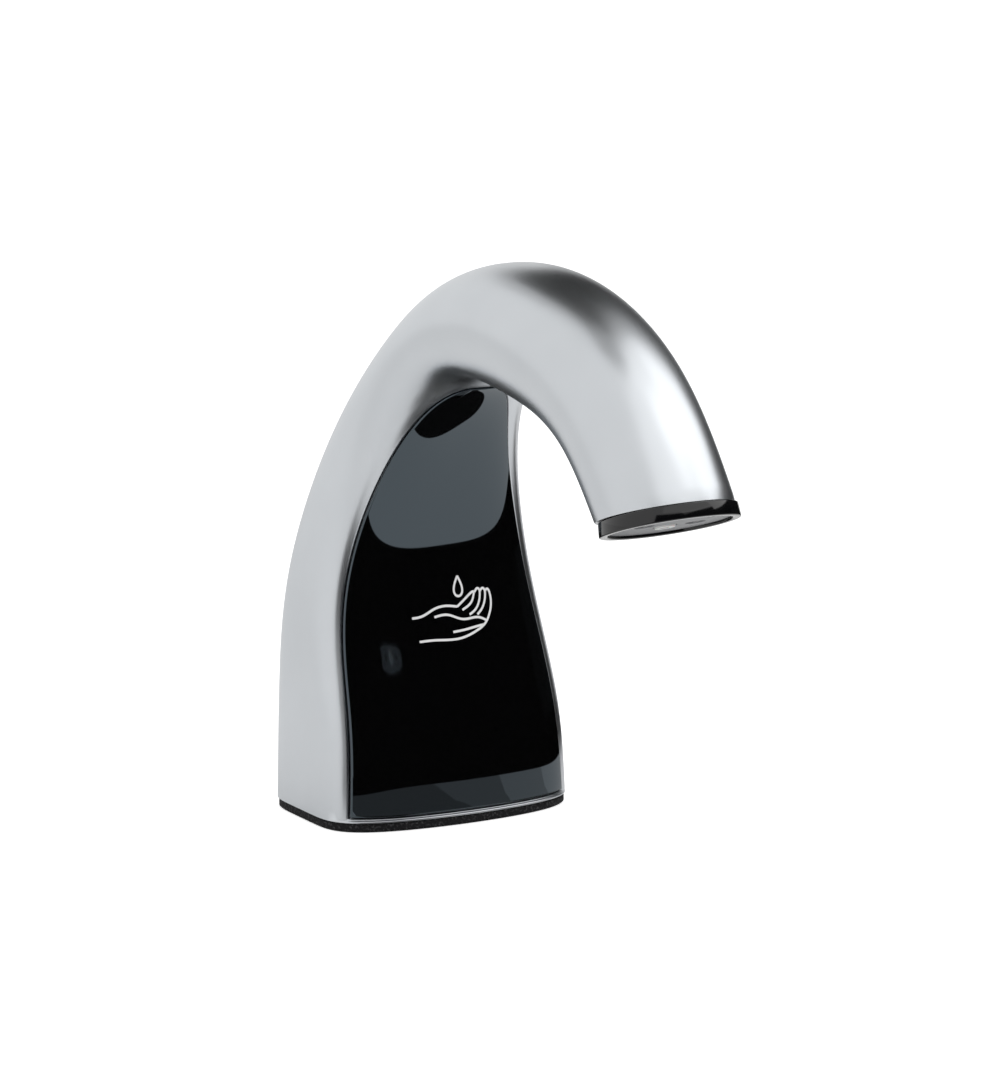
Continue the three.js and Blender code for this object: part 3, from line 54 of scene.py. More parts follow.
# The body's driving sizes, as in the CAD
FOOT_WIDTH = 80
FOOT_DEPTH = 48
FOOT_BOW = 5.5
OUTLET_WIDTH = 37.4
OUTLET_DEPTH = 36.6
SPOUT_REACH = 130.5
BEND_HEIGHT = 146
SHELL_WALL = 3
SKIN_ROOM = 0.24
GASKET_THICKNESS = 2.8
GASKET_INSET = 0.4
GASKET_HOLE_RADIUS = 14.5
GASKET_EDGE = 0.35
COLLAR_HEIGHT = 4
SEAT_GAP = 0.3
FORWARD_SHARES = [-0.042, -0.058, -0.091, -0.017, 0.157, 0.36, 0.592, 0.822, 1]
HEIGHT_SHARES = [0, 0.227, 0.476, 0.747, 0.93, 1, 0.983, 0.886, 0.702]
SECTION_LEANS = [0, 2.7, 6, 7.5, 20, 69, 110.6, 137.3, 161.7]
FOOT_WIDTH_SHARES = [1, 0.955, 0.755, 0.385, 0.195, 0.125, 0.083, 0.02, 0]
FOOT_DEPTH_SHARES = [1, 0.88, 0.1, -0.09, -0.12, -0.08, 0.12, 0.06, 0]
SECTION_POWERS = [5.5, 4.7, 4.2, 3, 2.35, 2.15, 2.1, 2.05, 2.05]
BOW_SHARES = [1, 0.85, 0.5, 0.2, 0.05, 0, 0, 0, 0]

# The fascia and the lip round it. The fascia's edge shares are spaced over the body's first half.
FASCIA_THICKNESS = 1.6
FASCIA_GAP = 0.35
FASCIA_LEDGE = 2.6
SILL_HEIGHT = 1.2
FASCIA_TOP_PLACE_SHARE = 0.47
FASCIA_EDGE_SHARES = [0.89, 0.87, 0.86, 0.76, 0.68]
FASCIA_TOP_WIDTH_SHARE = 0.24
FASCIA_ROUNDING_POWER = 2.6
FASCIA_ROUNDING_SHARE = 0.55
FASCIA_ROW_POWER = 1.7
LIP_WIDTH = 2.9
LIP_DEPTH = 0.4
LIP_RADIUS = 0.5
LIP_EDGE = FASCIA_GAP + LIP_RADIUS
SILL_SLOPE_SHARE = 0.6
PANEL_EDGE_RADIUS = 0.7

# The outlet end
COLLAR_FLARE = 0.25
COLLAR_LIP = 2
COLLAR_SKIRT = 1.6
COLLAR_SKIRT_HEIGHT = 9
COLLAR_EDGE = 0.4
FACE_THICKNESS = 2
FACE_RECESS = 0.8
FACE_BEVEL = 0.15
FACE_SCREW_RADIUS = 0.9
FACE_SCREW_HEAD_RADIUS = 1.6
FACE_SCREW_HEAD_HEIGHT = 0.8
FACE_SCREW_LENGTH = 4.5
FACE_SCREW_ANGLE = 50
OUTLET_OFFSET = 2.5
NOZZLE_RADIUS = 3
NOZZLE_BORE = 1.4
NOZZLE_FLANGE_RADIUS = 4.7
NOZZLE_FLANGE_HEIGHT = 1
SENSOR_SPREAD = 15.6
SENSOR_RADIUS = 2.4
SENSOR_LENGTH = 7.2

# How finely the shapes are divided, and how near points are before they become one
LOW_ROWS = 5
FASCIA_ROWS = 80
HIGH_ROWS = 110
SIDE_COLUMNS = 120
FRONT_COLUMNS = 40
RING_POINTS = 180
ARC_STEPS = 5
LIP_ROWS = 6
SMALL_RING = 40
DOME_STEPS = 10
WELD_DISTANCE = 0.002
FINE_WELD_DISTANCE = 0.001
PLATE_SHARP_ANGLE = 30
CAD_SHARP_ANGLE = 32


def spline(values):
    """A natural cubic spline through evenly spaced values, read at a place from 0 to 1."""
    last = len(values) - 1
    ratios, terms = [0.0], [0.0]
    for i in range(1, last):
        pivot = 4 - ratios[i - 1]
        ratios.append(1 / pivot)
        second = values[i - 1] - 2 * values[i] + values[i + 1]
        terms.append((6 * second - terms[i - 1]) / pivot)
    bends = [0.0] * (last + 1)
    for i in range(last - 1, 0, -1):
        bends[i] = terms[i] - ratios[i] * bends[i + 1]

    def at(place):
        along = min(max(place, 0), 1) * last
        i = min(int(along), last - 1)
        u = along - i
        v = 1 - u
        bend = ((v**3 - v) * bends[i] + (u**3 - u) * bends[i + 1]) / 6
        return v * values[i] + u * values[i + 1] + bend

    return at


def mix(start, end, share):
    return start + (end - start) * share


centre_y = spline([-share * SPOUT_REACH for share in FORWARD_SHARES])
centre_z = spline([share * BEND_HEIGHT for share in HEIGHT_SHARES])
lean_at = spline([math.radians(lean) for lean in SECTION_LEANS])
half_width = spline([mix(OUTLET_WIDTH, FOOT_WIDTH, s) / 2 for s in FOOT_WIDTH_SHARES])
half_depth = spline([mix(OUTLET_DEPTH, FOOT_DEPTH, s) / 2 for s in FOOT_DEPTH_SHARES])
power_at = spline(SECTION_POWERS)
bow_at = spline([share * FOOT_BOW for share in BOW_SHARES])
fascia_edge = spline(FASCIA_EDGE_SHARES)


def section_point(place, across, forward, inset):
    """A point of the section at a place, from its shares across and forward."""
    bulge = max(forward, 0) * (1 - across * across) * bow_at(place)
    inset += SKIN_ROOM
    out = forward * (half_depth(place) - inset) + bulge
    lean = lean_at(place)
    x = across * (half_width(place) - inset)
    y = centre_y(place) - out * math.cos(lean)
    z = centre_z(place) - out * math.sin(lean)
    return Vector((x, y, z))


def skin(place, angle, inset=0):
    """A point on the body's skin by its polar angle: 0 is +X and a quarter turn the front."""
    power = power_at(place)
    cosine, sine = math.cos(angle), math.sin(angle)
    size = (abs(cosine) ** power + abs(sine) ** power) ** (1 / power)
    return section_point(place, cosine / size, sine / size, inset)


def edge_angle(place, across):
    """The polar angle of a front point at a share of the half width."""
    forward = (1 - abs(across) ** power_at(place)) ** (1 / power_at(place))
    return math.atan2(forward, across)


def front_point(place, across, inset):
    return skin(place, edge_angle(place, across), inset)


def place_at_height(height, steps=40):
    """The place in the body's first half where the centre line stands at a height."""
    low, high = 0.0, 0.5
    for _ in range(steps):
        middle = (low + high) / 2
        if centre_z(middle) < height:
            low = middle
        else:
            high = middle
    return low


def measure_centre_line(steps=200):
    points = [Vector((centre_y(i / steps), centre_z(i / steps))) for i in range(steps + 1)]
    return sum((b - a).length for a, b in zip(points, points[1:]))


LINE_LENGTH = measure_centre_line()
FOOT_PLACE = place_at_height(GASKET_THICKNESS)
FASCIA_BOTTOM_PLACE = place_at_height(GASKET_THICKNESS + SILL_HEIGHT + FASCIA_GAP)

OUTLET_MATRIX = Matrix.Translation(Vector((0, centre_y(1), centre_z(1)))) @ Matrix.Rotation(
    lean_at(1) - math.pi, 4, "X"
)
OUTLET_INVERSE = OUTLET_MATRIX.inverted()


def sill_margin(margin):
    """The narrow sill leaves less room for the lip's slope than the sides do."""
    slope = max(margin - LIP_EDGE, 0)
    return margin - slope + slope * (SILL_HEIGHT - LIP_RADIUS) * SILL_SLOPE_SHARE / LIP_WIDTH


def window_rows(margin):
    """Places and half widths, as shares, up the sides of the fascia grown by a margin."""
    start = FASCIA_BOTTOM_PLACE - sill_margin(margin) / LINE_LENGTH
    end = FASCIA_TOP_PLACE_SHARE + margin / LINE_LENGTH
    rows = []
    for i in range(FASCIA_ROWS):
        share = 1 - (1 - i / (FASCIA_ROWS - 1)) ** FASCIA_ROW_POWER
        place = mix(start, end, share)
        straight = fascia_edge(2 * place) + margin / half_width(place)
        rise = max((share - FASCIA_ROUNDING_SHARE) / (1 - FASCIA_ROUNDING_SHARE), 0)
        lost = (1 - FASCIA_TOP_WIDTH_SHARE**FASCIA_ROUNDING_POWER) * rise**FASCIA_ROUNDING_POWER
        rows.append((place, straight * (1 - lost) ** (1 / FASCIA_ROUNDING_POWER)))
    return rows


def column_shares():
    """Shares from the right edge of the fascia to its left edge."""
    return [math.cos(math.pi * j / FRONT_COLUMNS) for j in range(FRONT_COLUMNS + 1)]


def window_loop(margin, inset):
    """The fascia's outline grown by a margin: up the right, over the top, down the left, back."""
    rows = window_rows(margin)
    shares = column_shares()
    top_place, top_edge = rows[-1]
    low_place, low_edge = rows[0]
    loop = [front_point(place, edge, inset) for place, edge in rows]
    loop += [front_point(top_place, share * top_edge, inset) for share in shares[1:-1]]
    loop += [front_point(place, -edge, inset) for place, edge in reversed(rows)]
    loop += [front_point(low_place, -share * low_edge, inset) for share in shares[1:-1]]
    return loop


def spaced_angles(place, start, end, count, samples=240):
    """Polar angles from start to end, evenly spaced along the skin."""
    angles = [mix(start, end, i / samples) for i in range(samples + 1)]
    points = [skin(place, angle) for angle in angles]
    lengths = [0.0]
    for a, b in zip(points, points[1:]):
        lengths.append(lengths[-1] + (b - a).length)
    result, at = [], 0
    for k in range(count + 1):
        wanted = lengths[-1] * k / count
        while at < samples - 1 and lengths[at + 1] < wanted:
            at += 1
        within = (wanted - lengths[at]) / (lengths[at + 1] - lengths[at])
        result.append(mix(angles[at], angles[at + 1], min(within, 1)))
    return result


def to_plane(points, level, turn=None):
    """The points moved along Z to a level, in the outlet's frame where a matrix pair is given."""
    if turn is None:
        return [Vector((p.x, p.y, level)) for p in points]
    forward, back = turn
    local = [back @ p for p in points]
    return [forward @ Vector((p.x, p.y, level)) for p in local]


def body_grid(inset, margin):
    """The body's skin round the fascia's window: rows of points from the foot to the outlet."""
    window = window_rows(margin)
    rim_place = 1 - (COLLAR_HEIGHT + SEAT_GAP) / LINE_LENGTH
    first_place, first_edge = window[0]
    last_place, last_edge = window[-1]
    low = [(mix(FOOT_PLACE, first_place, i / LOW_ROWS), first_edge) for i in range(LOW_ROWS)]
    high = [(mix(last_place, rim_place, i / HIGH_ROWS), last_edge) for i in range(1, HIGH_ROWS + 1)]
    shares = column_shares()
    sides, lower_front, upper_front = [], [], []
    for place, edge in low + window + high:
        right = edge_angle(place, edge)
        angles = spaced_angles(place, right, -math.pi - right, SIDE_COLUMNS)
        sides.append([skin(place, angle, inset) for angle in angles])
    for place, edge in low + window[:1]:
        lower_front.append([front_point(place, -share * edge, inset) for share in shares])
    for place, edge in window[-1:] + high:
        upper_front.append([front_point(place, -share * edge, inset) for share in shares])
    turn = (OUTLET_MATRIX, OUTLET_INVERSE)
    rim_level = COLLAR_HEIGHT + SEAT_GAP
    sides[0] = to_plane(sides[0], GASKET_THICKNESS)
    lower_front[0] = to_plane(lower_front[0], GASKET_THICKNESS)
    sides[-1] = to_plane(sides[-1], rim_level, turn)
    upper_front[-1] = to_plane(upper_front[-1], rim_level, turn)
    foot_ring = sides[0] + lower_front[0][1:-1]
    rim_ring = sides[-1] + upper_front[-1][1:-1]
    return [sides, lower_front, upper_front], foot_ring, rim_ring


def closed_rows(rings):
    return [ring + ring[:1] for ring in rings]


def arc(centre, radius, start, end, steps=ARC_STEPS):
    """Points of an arc, as pairs, from start to end in degrees."""
    turns = [math.radians(mix(start, end, i / steps)) for i in range(steps + 1)]
    return [(centre[0] + radius * math.cos(t), centre[1] + radius * math.sin(t)) for t in turns]


def make_mesh(name, patches, sharp=40):
    """One mesh from patches of rows of points, welded, with smooth faces and sharp corners."""
    work = bmesh.new()
    for rows in patches:
        grid = [[work.verts.new(point * MM) for point in row] for row in rows]
        for low, high in zip(grid, grid[1:]):
            for j in range(len(low) - 1):
                work.faces.new((low[j], low[j + 1], high[j + 1], high[j]))
    bmesh.ops.remove_doubles(work, verts=work.verts, dist=WELD_DISTANCE * MM)
    bmesh.ops.dissolve_degenerate(work, edges=work.edges, dist=FINE_WELD_DISTANCE * MM)
    bmesh.ops.recalc_face_normals(work, faces=work.faces)
    mesh = bpy.data.meshes.new(name)
    work.to_mesh(mesh)
    work.free()
    mesh.shade_smooth()
    mesh.set_sharp_from_angle(angle=math.radians(sharp))
    piece = bpy.data.objects.new(name, mesh)
    bpy.context.scene.collection.objects.link(piece)
    return piece


def dress(piece, body, slot, nodes=(), material=None):
    """Gives a piece its body and its slot's material, or the material given, and hides the CAD
    nodes that it stands for.
    """
    piece.data.materials.clear()
    piece.data.materials.append(material or MATERIALS[slot])
    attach(piece, body)
    if nodes:
        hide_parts(*nodes)


# The textures' scales, and the looks that a material has to itself
METAL_GRAIN_SCALE = 1400
METAL_CLOUD_SCALE = 60
METAL_BUMP = 0.04
GRAIN_DISTANCE = 0.02
GLOSS_CLOUD_SCALE = 40
GLOSS_ROUGHNESS = (0.02, 0.035)
GLOSS_INDEX = 1.6
GLOSS_TINT = (0.72, 0.88, 1, 1)
LENS_CLOUD_SCALE = 60
FOAM_CELL_SCALE = 1500
FOAM_SPECKLE = (0.52, 0.72)
FOAM_BUMP = 0.8
FOAM_CELL_DEPTH = 0.3
FOAM_ROUGHNESS = 0.9
FOAM_SPECULAR = 0.3
SILICONE_CLOUD_SCALE = 300
SILICONE_ROUGHNESS = (0.3, 0.42)
SILICONE_SCATTER = 0.2
SILICONE_SHADE = 0.9


def new_material(name):
    material = bpy.data.materials.new(name)
    material.use_nodes = True
    tree = material.node_tree
    return material, tree, tree.nodes["Principled BSDF"]


def noise(tree, scale, detail=3):
    texture = tree.nodes.new("ShaderNodeTexNoise")
    texture.inputs["Scale"].default_value = scale
    texture.inputs["Detail"].default_value = detail
    place = tree.nodes.new("ShaderNodeTexCoord")
    tree.links.new(place.outputs["Object"], texture.inputs["Vector"])
    return texture


def vary(tree, texture, socket, low, high):
    """Drives a socket between two values by a texture."""
    spread = tree.nodes.new("ShaderNodeMapRange")
    spread.inputs["To Min"].default_value = low
    spread.inputs["To Max"].default_value = high
    tree.links.new(texture.outputs["Fac"], spread.inputs["Value"])
    tree.links.new(spread.outputs["Result"], socket)


def tint(tree, texture, socket, dark, light):
    """Drives a colour socket between two colours by a texture."""
    ramp = tree.nodes.new("ShaderNodeMix")
    ramp.data_type = "RGBA"
    ramp.inputs["A"].default_value = (*dark, 1)
    ramp.inputs["B"].default_value = (*light, 1)
    tree.links.new(texture.outputs["Fac"], ramp.inputs["Factor"])
    tree.links.new(ramp.outputs["Result"], socket)


def roughen(tree, shader, texture, strength, distance):
    bump = tree.nodes.new("ShaderNodeBump")
    bump.inputs["Strength"].default_value = strength
    bump.inputs["Distance"].default_value = distance * MM
    tree.links.new(texture.outputs["Fac"], bump.inputs["Height"])
    tree.links.new(bump.outputs["Normal"], shader.inputs["Normal"])


def satin_metal(name, dark, light, smooth, rough, anisotropy=0):
    material, tree, shader = new_material(name)
    shader.inputs["Metallic"].default_value = 1
    shader.inputs["Anisotropic"].default_value = anisotropy
    grain = noise(tree, METAL_GRAIN_SCALE, detail=4)
    cloud = noise(tree, METAL_CLOUD_SCALE, detail=2)
    tint(tree, cloud, shader.inputs["Base Color"], dark, light)
    vary(tree, grain, shader.inputs["Roughness"], smooth, rough)
    roughen(tree, shader, grain, METAL_BUMP, GRAIN_DISTANCE)
    return material


def plastic(name, dark, light, smooth, rough, specular=0.5, grain_scale=900, bump=0.05):
    material, tree, shader = new_material(name)
    shader.inputs["Specular IOR Level"].default_value = specular
    grain = noise(tree, grain_scale)
    tint(tree, grain, shader.inputs["Base Color"], dark, light)
    vary(tree, grain, shader.inputs["Roughness"], smooth, rough)
    if bump:
        roughen(tree, shader, grain, bump, GRAIN_DISTANCE)
    return material


def gloss(name, dark, light):
    """A clear-coated black with a cool, strong reflection."""
    material = plastic(name, dark, light, *GLOSS_ROUGHNESS, 1, GLOSS_CLOUD_SCALE, bump=0)
    shader = material.node_tree.nodes["Principled BSDF"]
    shader.inputs["IOR"].default_value = GLOSS_INDEX
    shader.inputs["Specular Tint"].default_value = GLOSS_TINT
    return material


def foam(name, dark, light):
    material, tree, shader = new_material(name)
    shader.inputs["Roughness"].default_value = FOAM_ROUGHNESS
    shader.inputs["Specular IOR Level"].default_value = FOAM_SPECULAR
    cells = noise(tree, FOAM_CELL_SCALE, detail=4)
    speckle = tree.nodes.new("ShaderNodeValToRGB")
    speckle.color_ramp.elements[0].position = FOAM_SPECKLE[0]
    speckle.color_ramp.elements[1].position = FOAM_SPECKLE[1]
    speckle.color_ramp.elements[0].color = (*dark, 1)
    speckle.color_ramp.elements[1].color = (*light, 1)
    tree.links.new(cells.outputs["Fac"], speckle.inputs["Fac"])
    tree.links.new(speckle.outputs["Color"], shader.inputs["Base Color"])
    roughen(tree, shader, cells, FOAM_BUMP, FOAM_CELL_DEPTH)
    return material


def silicone(name, colour):
    material, tree, shader = new_material(name)
    shader.inputs["Subsurface Weight"].default_value = SILICONE_SCATTER
    shader.inputs["Subsurface Scale"].default_value = MM
    cloud = noise(tree, SILICONE_CLOUD_SCALE, detail=2)
    tint(tree, cloud, shader.inputs["Base Color"], [SILICONE_SHADE * c for c in colour], colour)
    vary(tree, cloud, shader.inputs["Roughness"], *SILICONE_ROUGHNESS)
    return material


# Each slot's material: a dark and a light tone, then its smoothest and roughest finish
MATERIALS = {
    "satin_chrome": satin_metal(
        "satin chrome", (0.63, 0.655, 0.68), (0.675, 0.70, 0.725), 0.27, 0.32, anisotropy=0.2
    ),
    "gloss_black": gloss("gloss black", (0.0015, 0.0015, 0.0017), (0.002, 0.002, 0.0022)),
    "foam_black": foam("foam", (0.006, 0.006, 0.007), (0.06, 0.06, 0.062)),
    "collar_black": plastic(
        "collar black",
        (0.0025, 0.0025, 0.003),
        (0.004, 0.004, 0.0045),
        0.08,
        0.12,
        specular=0.6,
        grain_scale=LENS_CLOUD_SCALE,
        bump=0,
    ),
    "face_grey": plastic("face grey", (0.20, 0.205, 0.215), (0.24, 0.245, 0.255), 0.4, 0.5),
    "zinc_plate": satin_metal("zinc plate", (0.36, 0.38, 0.40), (0.46, 0.48, 0.50), 0.35, 0.5),
    "steel": satin_metal("steel", (0.32, 0.33, 0.34), (0.42, 0.43, 0.44), 0.3, 0.42),
    "brass": satin_metal("brass", (0.42, 0.28, 0.10), (0.52, 0.36, 0.15), 0.28, 0.4),
    "pale_acetal": plastic("pale acetal", (0.70, 0.68, 0.62), (0.78, 0.76, 0.70), 0.4, 0.55),
    "dark_plastic": plastic(
        "dark plastic", (0.016, 0.017, 0.019), (0.024, 0.025, 0.028), 0.45, 0.6
    ),
    "board_green": plastic("board green", (0.010, 0.085, 0.035), (0.014, 0.12, 0.05), 0.35, 0.5),
    "clear_silicone": silicone("clear silicone", (0.66, 0.68, 0.67)),
    "dark_lens": plastic(
        "dark lens",
        (0.008, 0.003, 0.006),
        (0.012, 0.005, 0.009),
        0.03,
        0.06,
        specular=0.7,
        grain_scale=LENS_CLOUD_SCALE,
        bump=0,
    ),
    "lead_red": plastic("red lead", (0.28, 0.02, 0.015), (0.36, 0.03, 0.02), 0.5, 0.65),
    "lead_black": plastic("black lead", (0.009, 0.009, 0.009), (0.014, 0.014, 0.014), 0.5, 0.65),
}
SIGN_WHITE = plastic("sign white", (0.78, 0.78, 0.78), (0.86, 0.86, 0.86), 0.35, 0.45, bump=0)


def dress_cad_nodes():
    for part in frame["record"]["subparts"]:
        node = frame["nodes"][part["node"]]
        node.data.materials.clear()
        node.data.materials.append(MATERIALS[part["material_slot"]])
        node.data.shade_smooth()
        node.data.set_sharp_from_angle(angle=math.radians(CAD_SHARP_ANGLE))


def build_shell():
    """The metal body: its skin, the sloped lip and ledge of its window, its foot and its rim."""
    outer_margin = LIP_EDGE + LIP_WIDTH
    pocket = FASCIA_THICKNESS + FASCIA_GAP
    outer, outer_foot, outer_rim = body_grid(0, outer_margin)
    inner, inner_foot, inner_rim = body_grid(SHELL_WALL - SKIN_ROOM, -FASCIA_LEDGE)
    shares = [i / LIP_ROWS for i in range(LIP_ROWS)]
    slope = [(mix(outer_margin, LIP_EDGE, share), LIP_DEPTH * share**2) for share in shares]
    lip = arc((LIP_EDGE, LIP_DEPTH + LIP_RADIUS), LIP_RADIUS, -90, -180)
    ledge = [(FASCIA_GAP, pocket), (-FASCIA_LEDGE, pocket)]
    ledge.append((-FASCIA_LEDGE, SHELL_WALL - SKIN_ROOM))
    window = closed_rows([window_loop(margin, inset) for margin, inset in slope + lip + ledge])
    foot = closed_rows([outer_foot, inner_foot])
    rim = closed_rows([outer_rim, inner_rim])
    shell = make_mesh("satin_shell", [*outer, *inner, window, foot, rim])
    dress(shell, "casing", "satin_chrome", ["spout_shell"])


def front_patch(margin, inset):
    shares = column_shares()
    rows = window_rows(margin)
    return [[front_point(place, share * edge, inset) for share in shares] for place, edge in rows]


def build_fascia():
    """The glossy panel with its rounded edge."""
    radius = PANEL_EDGE_RADIUS
    edge = [(-radius + x, radius - y) for x, y in arc((0, 0), radius, 90, 0)]
    profile = edge + [(0, FASCIA_THICKNESS)]
    sides = closed_rows([window_loop(margin, inset) for margin, inset in profile])
    patches = [front_patch(-radius, 0), sides, front_patch(0, FASCIA_THICKNESS)]
    dress(make_mesh("fascia_panel", patches), "casing", "gloss_black", ["front_fascia"])


def build_gasket():
    """The foam sheet under the foot, with the hole that the shank passes."""
    angles = [2 * math.pi * i / RING_POINTS for i in range(RING_POINTS)]

    def outline(inset, z):
        return [Vector((*skin(0, angle, GASKET_INSET + inset).xy, z)) for angle in angles]

    def hole(z):
        radius = GASKET_HOLE_RADIUS
        return [Vector((radius * math.cos(a), -radius * math.sin(a), z)) for a in angles]

    top = GASKET_THICKNESS
    edge = GASKET_EDGE
    rings = [hole(0), outline(edge, 0), outline(0, edge)]
    rings += [outline(0, top - edge), outline(edge, top), hole(top)]
    gasket = make_mesh("foam_gasket", [closed_rows([*rings, rings[0]])], sharp=60)
    dress(gasket, "casing", "foam_black", ["base_gasket"])


def outlet_ring(offset, z):
    """A ring of the outlet's outline, grown by an offset, at a height in the outlet's frame."""
    points = []
    for i in range(RING_POINTS):
        angle = 2 * math.pi * i / RING_POINTS
        flat = OUTLET_INVERSE @ skin(1, angle, -offset)
        points.append(OUTLET_MATRIX @ Vector((flat.x, flat.y, z)))
    return points


def build_collar():
    """The glossy ring at the end of the arm, with its lip and the skirt inside the shell."""
    skirt = -SHELL_WALL - SEAT_GAP
    bore = skirt - COLLAR_SKIRT
    lip_top = FACE_RECESS + FACE_THICKNESS + SEAT_GAP
    edge = COLLAR_EDGE
    outer_edge = arc((COLLAR_FLARE - edge, edge), edge, 0, -90)
    inner_edge = arc((-COLLAR_LIP + edge, edge), edge, -90, -180)
    top_edge = arc((-edge, COLLAR_HEIGHT - edge), edge, 90, 20)
    profile = [(bore, COLLAR_SKIRT_HEIGHT), (skirt, COLLAR_SKIRT_HEIGHT), (skirt, COLLAR_HEIGHT)]
    profile += [*top_edge, *outer_edge, *inner_edge, (-COLLAR_LIP, lip_top), (bore, lip_top)]
    rings = [outlet_ring(offset, z) for offset, z in profile]
    collar = make_mesh("collar_ring", [closed_rows([*rings, rings[0]])], sharp=50)
    dress(collar, "casing", "collar_black", ["nozzle_collar"])


def circle_points(radius, x, y, count=SMALL_RING):
    angles = [2 * math.pi * i / count for i in range(count)]
    return [(x + radius * math.cos(a), y + radius * math.sin(a)) for a in angles]


def plate_with_holes(name, outlines, low, high, bevel):
    """A flat plate in the outlet's frame, with its edge as the first outline and holes after it."""
    curve = bpy.data.curves.new(name, "CURVE")
    curve.dimensions = "2D"
    curve.fill_mode = "BOTH"
    curve.extrude = (high - low) / 2 - bevel
    curve.bevel_depth = bevel
    curve.bevel_resolution = 2
    curve.offset = -bevel
    for outline in outlines:
        line = curve.splines.new("POLY")
        line.points.add(len(outline) - 1)
        for point, (x, y) in zip(line.points, outline):
            point.co = (x, y, 0, 1)
        line.use_cyclic_u = True
    sketch = bpy.data.objects.new(name + "_sketch", curve)
    bpy.context.scene.collection.objects.link(sketch)
    graph = bpy.context.evaluated_depsgraph_get()
    mesh = bpy.data.meshes.new_from_object(sketch.evaluated_get(graph))
    bpy.data.objects.remove(sketch)
    mesh.name = name
    mesh.transform(Matrix.Translation(Vector((0, 0, (low + high) / 2))))
    mesh.transform(Matrix.Scale(MM, 4) @ OUTLET_MATRIX)
    work = bmesh.new()
    work.from_mesh(mesh)
    bmesh.ops.remove_doubles(work, verts=work.verts, dist=FINE_WELD_DISTANCE * MM)
    bmesh.ops.recalc_face_normals(work, faces=work.faces)
    work.to_mesh(mesh)
    work.free()
    mesh.shade_smooth()
    mesh.set_sharp_from_angle(angle=math.radians(PLATE_SHARP_ANGLE))
    piece = bpy.data.objects.new(name, mesh)
    bpy.context.scene.collection.objects.link(piece)
    return piece


FACE_SCREW_INSET = SHELL_WALL + 2 * SEAT_GAP + COLLAR_SKIRT + FACE_SCREW_RADIUS


def face_screw_places():
    turn = math.radians(FACE_SCREW_ANGLE)
    x = (OUTLET_WIDTH / 2 - FACE_SCREW_INSET) * math.cos(turn)
    y = -(OUTLET_DEPTH / 2 - FACE_SCREW_INSET) * math.sin(turn)
    return [(-x, y), (x, y)]


def build_face():
    """The grey plate in the collar, with the outlet's hole, the sensor's two and the screws'."""
    ring = outlet_ring(-COLLAR_LIP - SEAT_GAP, 0)
    edge = [(OUTLET_INVERSE @ point).xy for point in ring]
    holes = [circle_points(NOZZLE_RADIUS + SEAT_GAP, 0, OUTLET_OFFSET)]
    for side in (-1, 1):
        holes.append(circle_points(SENSOR_RADIUS + SEAT_GAP, side * SENSOR_SPREAD / 2, 0))
    for x, y in face_screw_places():
        holes.append(circle_points(FACE_SCREW_HEAD_RADIUS + SEAT_GAP / 2, x, y))
    outlines = [[tuple(p) for p in edge], *holes]
    top = FACE_RECESS + FACE_THICKNESS
    face = plate_with_holes("outlet_face", outlines, FACE_RECESS, top, FACE_BEVEL)
    dress(face, "casing", "face_grey", ["nozzle_face"])


def turned(name, profile, x, y, z, sharp=35):
    """A solid turned from a profile of radii and heights, standing in the outlet's frame."""
    rings = []
    for radius, height in profile:
        ring = [Vector((px, py, z + height)) for px, py in circle_points(radius, x, y)]
        rings.append([OUTLET_MATRIX @ point for point in ring])
    return make_mesh(name, [closed_rows(rings)], sharp)


def build_nozzle():
    flange = FACE_THICKNESS + SEAT_GAP
    top = flange + NOZZLE_FLANGE_HEIGHT
    lip = FACE_RECESS / 2
    profile = [(NOZZLE_BORE, -lip), (NOZZLE_RADIUS - SEAT_GAP, -lip), (NOZZLE_RADIUS, lip)]
    profile += [(NOZZLE_RADIUS, flange), (NOZZLE_FLANGE_RADIUS, flange)]
    profile += [(NOZZLE_FLANGE_RADIUS, top), (NOZZLE_BORE, top)]
    nozzle = turned("nozzle_tip", [*profile, profile[0]], 0, OUTLET_OFFSET, FACE_RECESS)
    dress(nozzle, "casing", "clear_silicone", ["outlet_nozzle"])


def build_sensor_eyes():
    turns = [math.radians(90 * i / DOME_STEPS) for i in range(DOME_STEPS + 1)]
    dome = [(SENSOR_RADIUS * math.sin(t), SENSOR_RADIUS * (1 - math.cos(t))) for t in turns]
    for side, node in ((-1, "ir_emitter"), (1, "ir_receiver")):
        profile = [*dome, (SENSOR_RADIUS, SENSOR_LENGTH), (0, SENSOR_LENGTH)]
        eye = turned(node + "_lens", profile, side * SENSOR_SPREAD / 2, 0, FACE_RECESS)
        dress(eye, "casing", "dark_lens", [node])


def build_face_screws():
    head, depth = FACE_SCREW_HEAD_RADIUS, FACE_SCREW_HEAD_HEIGHT
    edge = depth / 4
    socket = head / 2
    shank, length = FACE_SCREW_RADIUS, FACE_SCREW_LENGTH
    profile = [(0, -depth / 2), (socket, -depth / 2), (socket, -depth), (head - edge, -depth)]
    profile += [(head, -depth + edge), (head, 0), (shank, 0), (shank, length), (0, length)]
    level = FACE_RECESS + depth
    for i, (x, y) in enumerate(face_screw_places(), 1):
        screw = turned(f"face_screw_{i}_turned", profile, x, y, level)
        dress(screw, "casing", "steel", [f"face_screw_{i}"])


def build_valve_spring():
    """The valve's spring, a copy of the CAD's coil at the CAD's length; the real one shortens as
    the poppet opens.
    """
    node = frame["nodes"]["outlet_spring"]
    spring = bpy.data.objects.new("valve_spring", node.data.copy())
    spring.matrix_world = node.matrix_world
    bpy.context.scene.collection.objects.link(spring)
    dress(spring, "casing", "steel", ["outlet_spring"])
    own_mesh(spring)


